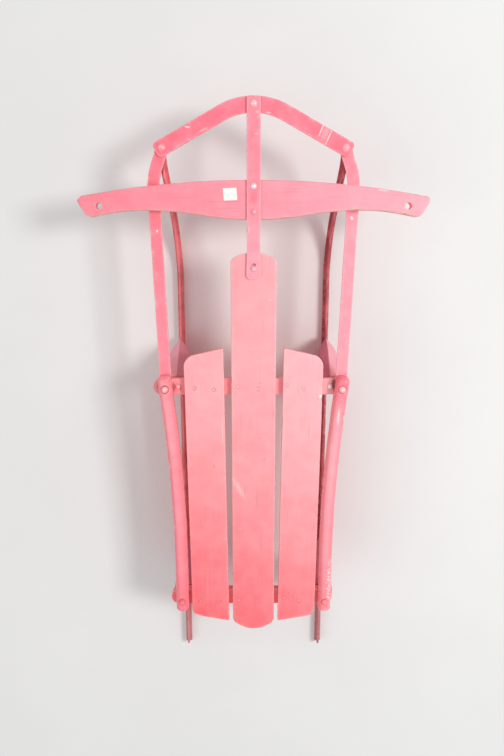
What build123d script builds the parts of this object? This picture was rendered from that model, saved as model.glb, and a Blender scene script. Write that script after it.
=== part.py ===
from build123d import *
import math
import os

os.makedirs("parts", exist_ok=True)

# A wooden sled on two steel runners, in millimetres. The sled stands on its runners at Z = 0,
# the front points to +Y and the origin lies under the middle of its length and width.

# Overall length and the heights that stack up from the ground
overall_length = 1059.0
half_length = overall_length / 2
stand_height = 121.0
bench_thickness = 18.0
board_thickness = 11.0
steel_thickness = 3.5
running_gap = 0.2
seat_play = 0.03
handle_clearance = 5.0
handle_thickness = 16.0

bench_top = stand_height + bench_thickness
deck_top = bench_top + board_thickness
bar_low = bench_top + running_gap
bar_high = bar_low + steel_thickness
bumper_low = bar_high + running_gap
bumper_high = bumper_low + steel_thickness
strap_front_low = bumper_high + running_gap
strap_rear_low = deck_top + running_gap
handle_low = bar_high + handle_clearance
handle_high = handle_low + handle_thickness

# Benches: the two cross bars that carry the deck, set a little to the left of the middle.
# Each reach runs from the middle of a rail bolt to that end of the bench.
heel_to_rear_bench = 189.0
bench_spacing = 403.0
rear_bench_y = heel_to_rear_bench - half_length
front_bench_y = rear_bench_y + bench_spacing
bench_width = 28.6
front_bench_left_reach = 23.0
front_bench_right_reach = 10.0
rear_bench_left_reach = 22.0
rear_bench_right_reach = 15.5
bench_lower_chamfer = 3.5
bench_upper_chamfer = 1.0

# Deck boards
centre_board_width = 76.0
centre_board_front_setback = 239.5
centre_board_rear_overhang = 60.1
centre_board_front_y = half_length - centre_board_front_setback
centre_board_rear_y = rear_bench_y - centre_board_rear_overhang
centre_front_arch = 11.0
centre_rear_arch = 16.0
centre_corner_round = 6.0
side_board_width = 68.0
side_board_x = 82.0
side_board_lead = 9.0
side_board_y = (front_bench_y + rear_bench_y) / 2 + side_board_lead
side_board_splay = 0.7
side_board_front = 261.0
side_board_rear = 254.5
side_front_slant = 12.5
side_rear_slant = 11.4
side_outer_front_round = 16.0
side_outer_rear_round = 12.0
side_inner_round = 3.0
board_edge_round = 1.5

# Side rails: bent wood, straight at the rear and curving outwards to the front
rail_width = 23.0
rail_height = 19.5
rail_rear_x = 131.0
rail_rear_overhang = 22.0
rail_straight_lead = 78.5
rail_bend_radius = 2700.0
rail_front_overhang = 21.5
rail_rear_y = rear_bench_y - rail_rear_overhang
rail_bend_start_y = rear_bench_y + rail_straight_lead
rail_front_y = front_bench_y + rail_front_overhang
rail_front_round = 9.5
rail_rear_round = 9.0
rail_upper_round = 8.0
rail_lower_chamfer = 2.5

# Steel runners: an inverted tee that turns up at the front to a flat tip
runner_x = 137.0
runner_flange_width = 12.0
runner_flange_thickness = 3.0
runner_web_thickness = 3.0
runner_web_height = 17.0
runner_rise_angle = 50.0
runner_bend_radius = 130.0
runner_tip_radius = 25.0
runner_flare_lead = 6.0
runner_tip_lead = 10.0
runner_tip_reach = 9.0
runner_heel_round = 10.0
runner_web_clearance = 2.0

# Bumper: a flat bow between the runner tips
bumper_width = 25.0
bumper_tip_x = 146.0
bumper_arm_angle = 28.5
bumper_bow_radius = 106.0
bumper_tip_reach = 11.0
bumper_corner_round = 7.0

# Side bars from the front bench to the runner tips
bar_width = 19.5
bar_knee_x = 162.0
bar_knee_setback = 47.0
bar_bend_radius = 110.0

# Steering strap, handle and their bolts
deck_bolt_setback = 265.3
deck_bolt_y = half_length - deck_bolt_setback
strap_width = 22.0
strap_end_width = 25.0
strap_end_flare = 40.0
strap_end_reach = 17.7
strap_front_setback = 2.4
strap_bend_radius = 14.0
strap_corner_round = 8.0
strap_seat_margin = 2.5
strap_slot_play = 5.0
strap_slot_lead = 2.3
handle_span = 563.0
handle_front_setback = 126.9
handle_front_y = half_length - handle_front_setback
handle_belly_depth = 61.4
handle_waist_x = 172.0
handle_waist_rise = 14.7
handle_bow_radius = 1530.0
handle_end_point = 3.6
handle_end_low_inset = 14.5
handle_end_low_drop = 12.6
handle_end_front_round = 7.0
handle_end_rear_round = 8.0
handle_edge_round = 3.0
rope_hole_radius = 5.3
rope_hole_inset = 35.5
rope_hole_setback = 40.1
handle_bolt_front_setback = 10.1
handle_bolt_spacing = 39.1

# Bolts and rivets that join the pieces
bolt_radius = 3.2
bolt_head_radius = 6.8
bolt_head_height = 3.0
bolt_nut_radius = 5.6
deck_bolt_head_radius = 5.4
handle_bolt_radius = 2.6
handle_bolt_head_radius = 4.9
handle_bolt_nut_radius = 4.6
bolt_nut_height = 4.0
bolt_tail = 1.0
bolt_hole_clearance = 0.15
pivot_clearance = 0.2
slot_side_clearance = 0.5
rivet_radius = 3.0
rivet_head_radius = 6.6
rivet_head_height = 3.0
rivet_tail_radius = 5.0
rivet_tail_height = 2.5
open_pivot_clearance = 1.0

# Pressed steel knees: two pressings that meet in a ridge, clamp the runner's web and flare to the bench.
# They stand over the runners, and flare more to the inside of the sled than to the outside.
knee_wall = 1.8
knee_top_plate = 2.0
knee_corner_round = 8.0
knee_web_clearance = 0.1
knee_slot_length = 150.0
knee_hollow_start = 27.0
knee_foot_reach = 3.6
knee_inner_reach = 29.0
front_knee_outer_reach = 24.0
rear_knee_outer_reach = 12.0

# Each row is one level section of a knee: its height, how far the ridge and the sides run to the front
# of the bench's middle, how far they run to its rear, and the share of the flare to the inside and outside
knee_sections = (
    (6.0, 64.0, 54.0, 46.0, 38.0, 0.0, 0.0),
    (24.0, 68.0, 58.0, 48.0, 40.0, 0.04, 0.05),
    (36.0, 66.5, 57.0, 43.0, 36.0, 0.29, 0.3),
    (50.0, 63.0, 53.5, 37.0, 31.0, 0.51, 0.5),
    (68.0, 55.0, 46.0, 30.0, 25.5, 0.69, 0.7),
    (92.0, 38.0, 31.0, 21.0, 18.5, 0.86, 0.88),
    (stand_height, 15.5, 14.3, 15.5, 14.3, 1.0, 1.0),
)

# Places and angles that follow from the sizes above
arm_tangent = math.tan(math.radians(bumper_arm_angle))
arm_cosine = math.cos(math.radians(bumper_arm_angle))
arm_sine = math.sin(math.radians(bumper_arm_angle))
apex_y = half_length - bumper_width / 2
bow_vertex_y = apex_y + bumper_bow_radius * (1 / arm_cosine - 1)
tip_y = bow_vertex_y - bumper_tip_x * arm_tangent
rail_low_front = bar_high + running_gap
rail_low_rear = bench_top
rail_tilt = math.atan((rail_low_front - rail_low_rear) / bench_spacing)
rail_seat_gap = bench_width / 2 * math.sin(rail_tilt) + seat_play
head_seat_gap = bolt_head_radius * math.sin(rail_tilt) + seat_play
web_top = runner_flange_thickness + runner_web_height
strap_top = handle_high + steel_thickness
front_handle_bolt_y = handle_front_y - handle_bolt_front_setback
rear_handle_bolt_y = front_handle_bolt_y - handle_bolt_spacing


def save(piece, label):
    """Label a finished piece and write it to its own file."""
    piece.part.label = label
    export_step(piece.part, f"parts/{label}.step")


def save_pair(piece, label):
    """Write a right-hand piece, then its left-hand twin mirrored across the middle of the sled."""
    save(piece, f"right_{label}")
    with BuildPart() as twin:
        mirror(piece.part, about=Plane.YZ)
    save(twin, f"left_{label}")


def dome_arc(head_radius, head_height):
    """Arc from the rim of a round head up to its crown, for the open line builder."""
    arc_radius = (head_radius**2 + head_height**2) / (2 * head_height)
    return RadiusArc((head_radius, 0), (0, head_height), -arc_radius)


def rail_x(y):
    """Distance of the right rail's middle line from the middle of the sled at a place along its length."""
    along = max(0.0, y - rail_bend_start_y)
    return rail_rear_x + rail_bend_radius - math.sqrt(rail_bend_radius**2 - along**2)


def rail_top(y):
    """Height of a rail's crown above the ground at a place along its length."""
    return rail_low_rear + rail_seat_gap + (y - rear_bench_y) * math.tan(rail_tilt) + rail_height


# Centre board: arched at both ends, with the hole of the steering bolt near the front
with BuildPart() as centre_board:
    half_width = centre_board_width / 2
    with BuildSketch(Plane.XY.offset(bench_top)) as outline:
        with BuildLine():
            front = ThreePointArc(
                (-half_width, centre_board_front_y - centre_front_arch),
                (0, centre_board_front_y),
                (half_width, centre_board_front_y - centre_front_arch),
            )
            rear = ThreePointArc(
                (half_width, centre_board_rear_y + centre_rear_arch),
                (0, centre_board_rear_y),
                (-half_width, centre_board_rear_y + centre_rear_arch),
            )
            Line(front @ 1, rear @ 0)
            Line(rear @ 1, front @ 0)
        make_face()
        fillet(outline.vertices(), centre_corner_round)
    extrude(amount=board_thickness)
    fillet(centre_board.faces().sort_by(Axis.Z)[-1].edges(), board_edge_round)
    with Locations((0, deck_bolt_y, deck_top)):
        Hole(radius=bolt_radius + bolt_hole_clearance)
save(centre_board, "centre_board")

# Side board: one plank, splayed a little, slanted at both ends
with BuildPart() as side_board:
    half_width = side_board_width / 2
    front_drop = side_board_width * math.tan(math.radians(side_front_slant))
    rear_drop = side_board_width * math.tan(math.radians(side_rear_slant))
    board_plane = Plane((side_board_x, side_board_y, bench_top)).rotated((0, 0, -side_board_splay))
    with BuildSketch(board_plane) as outline:
        with BuildLine():
            Polyline(
                (-half_width, -side_board_rear),
                (half_width, -side_board_rear + rear_drop),
                (half_width, side_board_front - front_drop),
                (-half_width, side_board_front),
                close=True,
            )
        make_face()
        inner = outline.vertices().sort_by(Axis.X)[:2]
        outer_rear, outer_front = outline.vertices().sort_by(Axis.X)[2:].sort_by(Axis.Y)
        fillet(inner, side_inner_round)
        fillet(outer_rear, side_outer_rear_round)
        fillet(outer_front, side_outer_front_round)
    extrude(amount=board_thickness)
    fillet(side_board.faces().sort_by(Axis.Z)[-1].edges(), board_edge_round)
save_pair(side_board, "board")

# Benches: round-ended bars with a bolt hole near each end
for label, bench_y, left_reach, right_reach in (
    ("front_bench", front_bench_y, front_bench_left_reach, front_bench_right_reach),
    ("rear_bench", rear_bench_y, rear_bench_left_reach, rear_bench_right_reach),
):
    with BuildPart() as bench:
        with BuildSketch(Plane(((right_reach - left_reach) / 2, bench_y, stand_height))):
            SlotOverall(2 * rail_x(bench_y) + left_reach + right_reach, bench_width)
        extrude(amount=bench_thickness)
        chamfer(bench.faces().sort_by(Axis.Z)[0].edges(), bench_lower_chamfer)
        chamfer(bench.faces().sort_by(Axis.Z)[-1].edges(), bench_upper_chamfer)
        with Locations((-rail_x(bench_y), bench_y, bench_top), (rail_x(bench_y), bench_y, bench_top)):
            Hole(radius=bolt_radius + bolt_hole_clearance)
    save(bench, label)

# Side rail: lies on the rear bench and, over the side bar, on the front bench
rail_plane = Plane(
    (0, rear_bench_y, rail_low_rear + rail_seat_gap),
    x_dir=(1, 0, 0),
    z_dir=(0, -math.sin(rail_tilt), math.cos(rail_tilt)),
)
with BuildPart() as rail:
    bend_y = rail_bend_start_y - rear_bench_y
    sweep_angle = math.degrees(math.asin((rail_front_y - rail_bend_start_y) / rail_bend_radius))
    bend_centre = (rail_rear_x + rail_bend_radius, bend_y)
    with BuildSketch(rail_plane) as outline:
        with BuildLine():
            inner_bend = CenterArc(bend_centre, rail_bend_radius + rail_width / 2, 180, -sweep_angle)
            outer_bend = CenterArc(bend_centre, rail_bend_radius - rail_width / 2, 180, -sweep_angle)
            inner_rear = (rail_rear_x - rail_width / 2, rail_rear_y - rear_bench_y)
            outer_rear = (rail_rear_x + rail_width / 2, rail_rear_y - rear_bench_y)
            Line(inner_bend @ 1, outer_bend @ 1)
            Line(outer_bend @ 0, outer_rear)
            Line(outer_rear, inner_rear)
            Line(inner_rear, inner_bend @ 0)
        make_face()
        fillet(outline.vertices().sort_by(Axis.Y)[-2:], rail_front_round)
        fillet(outline.vertices().sort_by(Axis.Y)[:2], rail_rear_round)
    extrude(amount=rail_height)
    fillet(rail.faces().sort_by(Axis.Z)[-1].edges(), rail_upper_round)
    chamfer(rail.faces().sort_by(Axis.Z)[0].edges(), rail_lower_chamfer)
    with Locations(
        (rail_x(rear_bench_y), rear_bench_y, deck_top),
        (rail_x(front_bench_y), front_bench_y, deck_top),
    ):
        Hole(radius=bolt_radius + bolt_hole_clearance)
save_pair(rail, "rail")

# Rail bolts: the front pair are also the pivots of the side bars
for label, bench_y in (("front_rail_bolt", front_bench_y), ("rear_rail_bolt", rear_bench_y)):
    with BuildPart() as rail_bolt:
        head_low = rail_top(bench_y) + head_seat_gap
        shank_low = stand_height - knee_top_plate - bolt_nut_height - bolt_tail
        with BuildSketch(Plane((rail_x(bench_y), bench_y, shank_low))):
            Circle(bolt_radius)
        extrude(amount=head_low - shank_low)
        dome_plane = Plane((rail_x(bench_y), bench_y, head_low), x_dir=(1, 0, 0), z_dir=(0, -1, 0))
        with BuildSketch(dome_plane):
            with BuildLine():
                crown = dome_arc(bolt_head_radius, bolt_head_height)
                Polyline(crown @ 1, (0, 0), crown @ 0)
            make_face()
        revolve(axis=Axis((rail_x(bench_y), bench_y, 0), (0, 0, 1)))
        with BuildSketch(Plane((rail_x(bench_y), bench_y, shank_low + bolt_tail))):
            RegularPolygon(bolt_nut_radius, 6)
        extrude(amount=bolt_nut_height)
    save_pair(rail_bolt, label)

# Runner: web and flange of the straight part, then both again along the upturned front
with BuildPart() as runner:
    rise_angle = math.radians(runner_rise_angle)
    flange_middle = runner_flange_thickness / 2
    tip_middle = bar_low - runner_flange_thickness / 2
    rise = tip_middle - flange_middle
    first_corner = runner_flare_lead + runner_bend_radius * math.tan(rise_angle / 2)
    second_corner = first_corner + rise / math.tan(rise_angle)
    tip_run = second_corner + runner_tip_radius * math.tan(rise_angle / 2) + runner_tip_lead
    flare = math.asin((bumper_tip_x - runner_x) / tip_run)
    upturn_y = tip_y - tip_run * math.cos(flare)
    front_plane = Plane(
        (runner_x, upturn_y, 0),
        x_dir=(math.sin(flare), math.cos(flare), 0),
        z_dir=(math.cos(flare), -math.sin(flare), 0),
    )
    with BuildLine(front_plane) as front_path:
        FilletPolyline(
            (0, flange_middle),
            (first_corner, flange_middle),
            (second_corner, tip_middle),
            (tip_run + runner_tip_reach, tip_middle),
            radius=[runner_bend_radius, runner_tip_radius],
        )
    rear_section = Plane((runner_x, -half_length, 0), x_dir=(-1, 0, 0), z_dir=(0, 1, 0))
    front_section = Plane(
        (runner_x, upturn_y, 0),
        x_dir=(-math.cos(flare), math.sin(flare), 0),
        z_dir=(math.sin(flare), math.cos(flare), 0),
    )
    web_middle = web_top - runner_web_height / 2
    web_side = math.tan(flare) * runner_flange_width / 2
    with BuildSketch(rear_section):
        with Locations((0, web_middle)):
            Rectangle(runner_web_thickness, runner_web_height)
    extrude(amount=half_length + upturn_y + web_side)
    heel = runner.edges().filter_by(Axis.X).group_by(Axis.Y)[0].sort_by(Axis.Z)[-1]
    fillet(heel, runner_heel_round)
    with BuildSketch(front_section):
        with Locations((0, web_middle)):
            Rectangle(runner_web_thickness, runner_web_height)
    sweep(path=front_path.line)
    web_limit = bar_low - runner_web_clearance
    with BuildSketch(Plane((runner_x, tip_y, web_limit))):
        Rectangle(tip_run, tip_run)
    extrude(amount=deck_top, mode=Mode.SUBTRACT)
    with BuildSketch(rear_section):
        with Locations((0, flange_middle)):
            Rectangle(runner_flange_width, runner_flange_thickness)
    extrude(amount=half_length + upturn_y + web_side)
    with BuildSketch(front_section):
        with Locations((0, flange_middle)):
            Rectangle(runner_flange_width, runner_flange_thickness)
    sweep(path=front_path.line)
    with Locations((bumper_tip_x, tip_y, bar_low)):
        Hole(radius=rivet_radius + bolt_hole_clearance, depth=2 * runner_flange_thickness)
save_pair(runner, "runner")

# Knees: hollow pressings lofted through the level sections, slotted below for the runner's web
hollow_rows = (
    (knee_hollow_start, *knee_sections[1][1:]),
    *knee_sections[2:-1],
    (stand_height - knee_top_plate, *knee_sections[-1][1:]),
)
for label, bench_y, outer_reach in (
    ("front_knee", front_bench_y, front_knee_outer_reach),
    ("rear_knee", rear_bench_y, rear_knee_outer_reach),
):
    with BuildPart() as knee:
        for rows, wall, mode in ((knee_sections, 0.0, Mode.ADD), (hollow_rows, knee_wall, Mode.SUBTRACT)):
            for height, front_ridge, front_side, rear_ridge, rear_side, inner_share, outer_share in rows:
                inner = knee_foot_reach + (knee_inner_reach - knee_foot_reach) * inner_share
                outer = knee_foot_reach + (outer_reach - knee_foot_reach) * outer_share
                ridge_x = (outer - inner) / 2
                with BuildSketch(Plane((runner_x, bench_y, height))) as section:
                    with BuildLine():
                        Polyline(
                            (ridge_x, front_ridge - 2 * wall),
                            (wall - inner, front_side - wall),
                            (wall - inner, wall - rear_side),
                            (ridge_x, 2 * wall - rear_ridge),
                            (outer - wall, wall - rear_side),
                            (outer - wall, front_side - wall),
                            close=True,
                        )
                    make_face()
                    corners = section.vertices().sort_by(Axis.X)
                    fillet(corners[:2] + corners[-2:], knee_corner_round - wall)
            loft(ruled=True, mode=mode)
        with BuildSketch(Plane((runner_x, bench_y, 0))):
            Rectangle(runner_web_thickness + 2 * knee_web_clearance, knee_slot_length)
        extrude(amount=web_top + knee_web_clearance, mode=Mode.SUBTRACT)
        with Locations((rail_x(bench_y), bench_y, stand_height)):
            Hole(radius=bolt_radius + bolt_hole_clearance, depth=knee_top_plate)
    save_pair(knee, label)

# Side bar: flat steel from the rail bolt to the runner's tip
with BuildPart() as side_bar:
    bar_pivot_x = rail_x(front_bench_y)
    with BuildSketch(Plane.XY.offset(bar_low)):
        with BuildLine():
            FilletPolyline(
                (bar_pivot_x, front_bench_y),
                (bar_knee_x, tip_y - bar_knee_setback),
                (bumper_tip_x, tip_y),
                radius=bar_bend_radius,
            )
        trace(line_width=bar_width)
        with Locations((bar_pivot_x, front_bench_y), (bumper_tip_x, tip_y)):
            Circle(bar_width / 2)
    extrude(amount=steel_thickness)
    with Locations((bar_pivot_x, front_bench_y, bar_high)):
        Hole(radius=bolt_radius + pivot_clearance)
    with Locations((bumper_tip_x, tip_y, bar_high)):
        Hole(radius=rivet_radius + bolt_hole_clearance)
save_pair(side_bar, "side_bar")

# Tip rivet: joins bumper, side bar and runner tip
with BuildPart() as tip_rivet:
    head_low = bumper_high + running_gap
    tail_high = bar_low - runner_flange_thickness
    with BuildSketch(Plane((bumper_tip_x, tip_y, head_low), x_dir=(1, 0, 0), z_dir=(0, -1, 0))):
        with BuildLine():
            crown = dome_arc(rivet_head_radius, rivet_head_height)
            Polyline(
                crown @ 1,
                (0, tail_high - rivet_tail_height - head_low),
                (rivet_tail_radius, tail_high - rivet_tail_height - head_low),
                (rivet_tail_radius, tail_high - head_low),
                (rivet_radius, tail_high - head_low),
                (rivet_radius, 0),
                crown @ 0,
            )
        make_face()
    revolve(axis=Axis((bumper_tip_x, tip_y, 0), (0, 0, 1)))
save_pair(tip_rivet, "tip_rivet")

# Bumper: a flat bow with loose rivet holes at its tips
with BuildPart() as bumper:
    with BuildSketch(Plane.XY.offset(bumper_low)) as outline:
        end_x = bumper_tip_x + bumper_tip_reach * arm_cosine
        end_y = tip_y - bumper_tip_reach * arm_sine
        with BuildLine():
            FilletPolyline((-end_x, end_y), (0, bow_vertex_y), (end_x, end_y), radius=bumper_bow_radius)
        trace(line_width=bumper_width)
        corners = outline.vertices().sort_by(Axis.X)
        fillet(corners[:2] + corners[-2:], bumper_corner_round)
    extrude(amount=steel_thickness)
    with Locations((0, apex_y, bumper_high)):
        Hole(radius=bolt_radius + pivot_clearance)
    with Locations((-bumper_tip_x, tip_y, bumper_high), (bumper_tip_x, tip_y, bumper_high)):
        Hole(radius=rivet_radius + open_pivot_clearance)
save(bumper, "bumper")

# Steering strap: rises from the bumper over the handle and drops to the centre board
with BuildPart() as steering_strap:
    strap_front_y = half_length - strap_front_setback
    strap_rear_y = deck_bolt_y - strap_end_reach
    handle_rear_y = handle_front_y - handle_belly_depth
    with BuildSketch(Plane.YZ.offset(-strap_end_width / 2)):
        with BuildLine():
            FilletPolyline(
                (strap_rear_y, strap_rear_low),
                (centre_board_front_y + strap_seat_margin, strap_rear_low),
                (handle_rear_y - strap_seat_margin, handle_high),
                (handle_front_y + strap_seat_margin, handle_high),
                (apex_y - bumper_width / 2 - strap_seat_margin, strap_front_low),
                (strap_front_y, strap_front_low),
                radius=strap_bend_radius,
            )
            offset(amount=steel_thickness, side=Side.LEFT, closed=True)
        make_face()
    extrude(amount=strap_end_width)
    with BuildSketch(Plane.XY.offset(strap_rear_low)) as plan_view:
        with BuildLine():
            Polyline(
                (-strap_end_width / 2, strap_rear_y),
                (strap_end_width / 2, strap_rear_y),
                (strap_width / 2, strap_rear_y + strap_end_flare),
                (strap_width / 2, strap_front_y),
                (-strap_width / 2, strap_front_y),
                (-strap_width / 2, strap_rear_y + strap_end_flare),
                close=True,
            )
        make_face()
        fillet(plan_view.vertices().sort_by(Axis.Y)[:2], strap_corner_round)
    extrude(amount=2 * handle_thickness, both=True, mode=Mode.INTERSECT)
    with BuildSketch(Plane((0, deck_bolt_y + strap_slot_lead, strap_rear_low))):
        SlotOverall(
            2 * (bolt_radius + slot_side_clearance) + strap_slot_play,
            2 * (bolt_radius + slot_side_clearance),
            rotation=90,
        )
    extrude(amount=steel_thickness, mode=Mode.SUBTRACT)
    with Locations((0, apex_y, strap_front_low + steel_thickness)):
        Hole(radius=bolt_radius + bolt_hole_clearance)
    with Locations((0, front_handle_bolt_y, strap_top), (0, rear_handle_bolt_y, strap_top)):
        Hole(radius=handle_bolt_radius + bolt_hole_clearance)
save(steering_strap, "steering_strap")

# Steering handle: a bowed wooden bar with a belly, two waists, slanted ends and two rope holes
with BuildPart() as steering_handle:
    with BuildSketch(Plane.XY.offset(handle_low)) as outline:
        half_span = handle_span / 2
        belly_y = handle_front_y - handle_belly_depth
        waist_y = belly_y + handle_waist_rise
        end_top_x = half_span + handle_end_point
        end_top_y = handle_front_y - handle_bow_radius + math.sqrt(handle_bow_radius**2 - end_top_x**2)
        end_low = (half_span - handle_end_low_inset, waist_y - handle_end_low_drop)
        with BuildLine():
            belly = TangentArc((0, belly_y), (handle_waist_x / 2, (belly_y + waist_y) / 2), tangent=(1, 0))
            TangentArc((handle_waist_x, waist_y), belly @ 1, tangent=(-1, 0))
            TangentArc((handle_waist_x, waist_y), end_low, tangent=(1, 0))
            Line(end_low, (end_top_x, end_top_y))
            RadiusArc((end_top_x, end_top_y), (0, handle_front_y), -handle_bow_radius)
            Line((0, handle_front_y), (0, belly_y))
        make_face()
        mirror(about=Plane.YZ)
        left_front, left_rear = outline.vertices().sort_by(Axis.X)[:2]
        right_rear, right_front = outline.vertices().sort_by(Axis.X)[-2:]
        fillet([left_front, right_front], handle_end_front_round)
        fillet([left_rear, right_rear], handle_end_rear_round)
    extrude(amount=handle_thickness)
    fillet(steering_handle.faces().sort_by(Axis.Z)[-1].edges(), handle_edge_round)
    fillet(steering_handle.faces().sort_by(Axis.Z)[0].edges(), handle_edge_round)
    hole_x = half_span - rope_hole_inset
    hole_y = handle_front_y - rope_hole_setback
    with Locations((-hole_x, hole_y, handle_high), (hole_x, hole_y, handle_high)):
        Hole(radius=rope_hole_radius)
    with Locations((0, front_handle_bolt_y, handle_high), (0, rear_handle_bolt_y, handle_high)):
        Hole(radius=handle_bolt_radius + bolt_hole_clearance)
save(steering_handle, "steering_handle")

# Bolts in the middle of the sled: the strap turns on the deck bolt, carries the bumper on the apex bolt
# and is held to the handle by the other two. Each row is a bolt's place, its radii and its two faces.
deck_head_low = strap_rear_low + steel_thickness + running_gap
apex_head_low = strap_front_low + steel_thickness
deck_bolt_radii = (bolt_radius, deck_bolt_head_radius, bolt_nut_radius)
apex_bolt_radii = (bolt_radius, bolt_head_radius, bolt_nut_radius)
handle_bolt_radii = (handle_bolt_radius, handle_bolt_head_radius, handle_bolt_nut_radius)
for label, bolt_y, radii, head_low, nut_high in (
    ("deck_bolt", deck_bolt_y, deck_bolt_radii, deck_head_low, bench_top),
    ("apex_bolt", apex_y, apex_bolt_radii, apex_head_low, bumper_low - running_gap),
    ("front_handle_bolt", front_handle_bolt_y, handle_bolt_radii, strap_top, handle_low),
    ("rear_handle_bolt", rear_handle_bolt_y, handle_bolt_radii, strap_top, handle_low),
):
    shank_radius, head_radius, nut_radius = radii
    with BuildPart() as middle_bolt:
        shank_low = nut_high - bolt_nut_height - bolt_tail
        with BuildSketch(Plane((0, bolt_y, head_low), x_dir=(1, 0, 0), z_dir=(0, -1, 0))):
            with BuildLine():
                crown = dome_arc(head_radius, bolt_head_height)
                Polyline(
                    crown @ 1,
                    (0, shank_low - head_low),
                    (shank_radius, shank_low - head_low),
                    (shank_radius, 0),
                    crown @ 0,
                )
            make_face()
        revolve(axis=Axis((0, bolt_y, 0), (0, 0, 1)))
        with BuildSketch(Plane((0, bolt_y, shank_low + bolt_tail))):
            RegularPolygon(nut_radius, 6)
        extrude(amount=bolt_nut_height)
    save(middle_bolt, label)
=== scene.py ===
"""Looks of a wooden runner sled: worn red paint on boards, bent rails and flat steel.

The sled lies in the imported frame, in metres: +Y is its front, +Z is up, and Z = 0 is the floor.
"""

import logging
import math
from dataclasses import dataclass
from enum import Enum
from functools import reduce
from typing import Callable, Optional, Sequence, TypeVar, Union

import bmesh
import bpy
import numpy as np
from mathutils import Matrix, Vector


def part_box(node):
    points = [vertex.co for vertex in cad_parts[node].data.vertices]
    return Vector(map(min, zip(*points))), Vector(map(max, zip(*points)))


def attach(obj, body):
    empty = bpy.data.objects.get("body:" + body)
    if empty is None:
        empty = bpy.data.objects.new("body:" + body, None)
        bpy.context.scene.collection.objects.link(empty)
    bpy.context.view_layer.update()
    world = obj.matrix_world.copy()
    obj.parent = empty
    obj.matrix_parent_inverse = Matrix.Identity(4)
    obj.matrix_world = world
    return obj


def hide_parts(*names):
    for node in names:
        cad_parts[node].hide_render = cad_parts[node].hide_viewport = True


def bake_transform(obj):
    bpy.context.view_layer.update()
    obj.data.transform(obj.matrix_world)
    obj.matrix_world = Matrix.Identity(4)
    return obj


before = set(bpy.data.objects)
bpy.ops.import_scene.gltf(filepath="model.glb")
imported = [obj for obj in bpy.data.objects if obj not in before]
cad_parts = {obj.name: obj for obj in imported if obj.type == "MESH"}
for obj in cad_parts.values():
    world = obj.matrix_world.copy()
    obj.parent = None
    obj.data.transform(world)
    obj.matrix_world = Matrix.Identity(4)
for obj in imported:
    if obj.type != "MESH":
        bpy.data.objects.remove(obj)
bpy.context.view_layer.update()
log = logging.getLogger("runner_sled")

Profile = Callable[[np.ndarray], np.ndarray]
Colour = tuple[float, float, float]
Pair = tuple[float, float]
Socket = bpy.types.NodeSocket
Value = Union[Socket, float, Sequence[float]]
Field = Union[np.ndarray, float]
Choice = TypeVar("Choice")

STEEL = 0.0035  # thickness of the flat steel
GAP = 0.0002  # room between pieces that touch
HEAD = 0.003  # height of a bolt's head
UP = np.array([0.0, 0.0, 1.0])


class Side(Enum):
    """The two sides of the sled, with the sign of their X."""

    LEFT = -1
    RIGHT = 1

    @property
    def word(self) -> str:
        """The side's name as the nodes have it."""
        return self.name.lower()

    def pick(self, left: Choice, right: Choice) -> Choice:
        """Returns what belongs to this side."""
        return right if self is Side.RIGHT else left

    def pair(self, inner: float, outer: float) -> Pair:
        """Returns an inner and an outer value as one for low X and one for high X."""
        return self.pick((outer, inner), (inner, outer))


class Grain(Enum):
    """The way that grain and brush strokes run: how far each axis is stretched."""

    ALONG = (1.0, 0.03, 1.0)
    ACROSS = (0.03, 1.0, 1.0)
    NONE = (0.25, 0.25, 1.0)


class Tone(Enum):
    """What a mark on the paint shows."""

    RED = (0.97, 0.13, 0.20)
    PALE = (0.97, 0.70, 0.68)
    WHITE = (0.98, 0.90, 0.88)
    DARK = (0.30, 0.07, 0.07)
    WOOD = (0.72, 0.45, 0.30)


def corners(node: str) -> tuple[np.ndarray, np.ndarray]:
    """Returns the lowest and the highest corner of a node of the frame."""
    low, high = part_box(node)
    return np.array(low, float), np.array(high, float)


def middle(node: str) -> np.ndarray:
    """Returns the middle of a node's box."""
    low, high = corners(node)
    return (low + high) / 2


def constant(value: float) -> Profile:
    """Returns a profile that has the same value all along."""
    return lambda along: np.full(np.shape(along), value)


def even_sides(half: float) -> tuple[Profile, Profile]:
    """Returns the two sides of a bar that keeps its width."""
    return constant(-half), constant(half)


def unit(vectors: np.ndarray) -> np.ndarray:
    """Returns vectors that point the same way and have a length of 1."""
    return vectors / np.linalg.norm(vectors, axis=-1, keepdims=True)


def grid_faces(rows: int, columns: int, closed: bool = False) -> np.ndarray:
    """Makes the faces of a grid of points that is stored row by row.

    Each face joins a point, the next one in its row and the two beside them in the next row.

    Args:
        rows: number of rows of points.
        columns: number of points in a row.
        closed: joins the last column to the first.

    Returns:
        Four point numbers for each face, in an array of rows, columns and 4.
    """
    row, column = np.meshgrid(np.arange(rows - 1), np.arange(columns - (not closed)), indexing="ij")
    after = (column + 1) % columns
    first = row * columns
    return np.stack([first + column, first + after, first + columns + after, first + columns + column], -1)


def outline_of(grid: np.ndarray) -> np.ndarray:
    """Returns the outline of a grid of points, once round, as one row."""
    return np.concatenate([grid[0, :-1], grid[:-1, -1], grid[-1, :0:-1], grid[:0:-1, 0]])[None]


def capped(rings: np.ndarray, hub: np.ndarray) -> np.ndarray:
    """Closes a tube of rings with a fan at each end, round the first and the last point of its hub."""
    fans = [np.broadcast_to(hub[end], rings[:1].shape) for end in (0, -1)]
    return np.concatenate([fans[0], rings, fans[1]])


def eased(value: np.ndarray) -> np.ndarray:
    """Returns 0 below 0, 1 above 1, and a smooth rise between them."""
    held = np.clip(value, 0.0, 1.0)
    return held * held * (3.0 - 2.0 * held)


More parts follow.
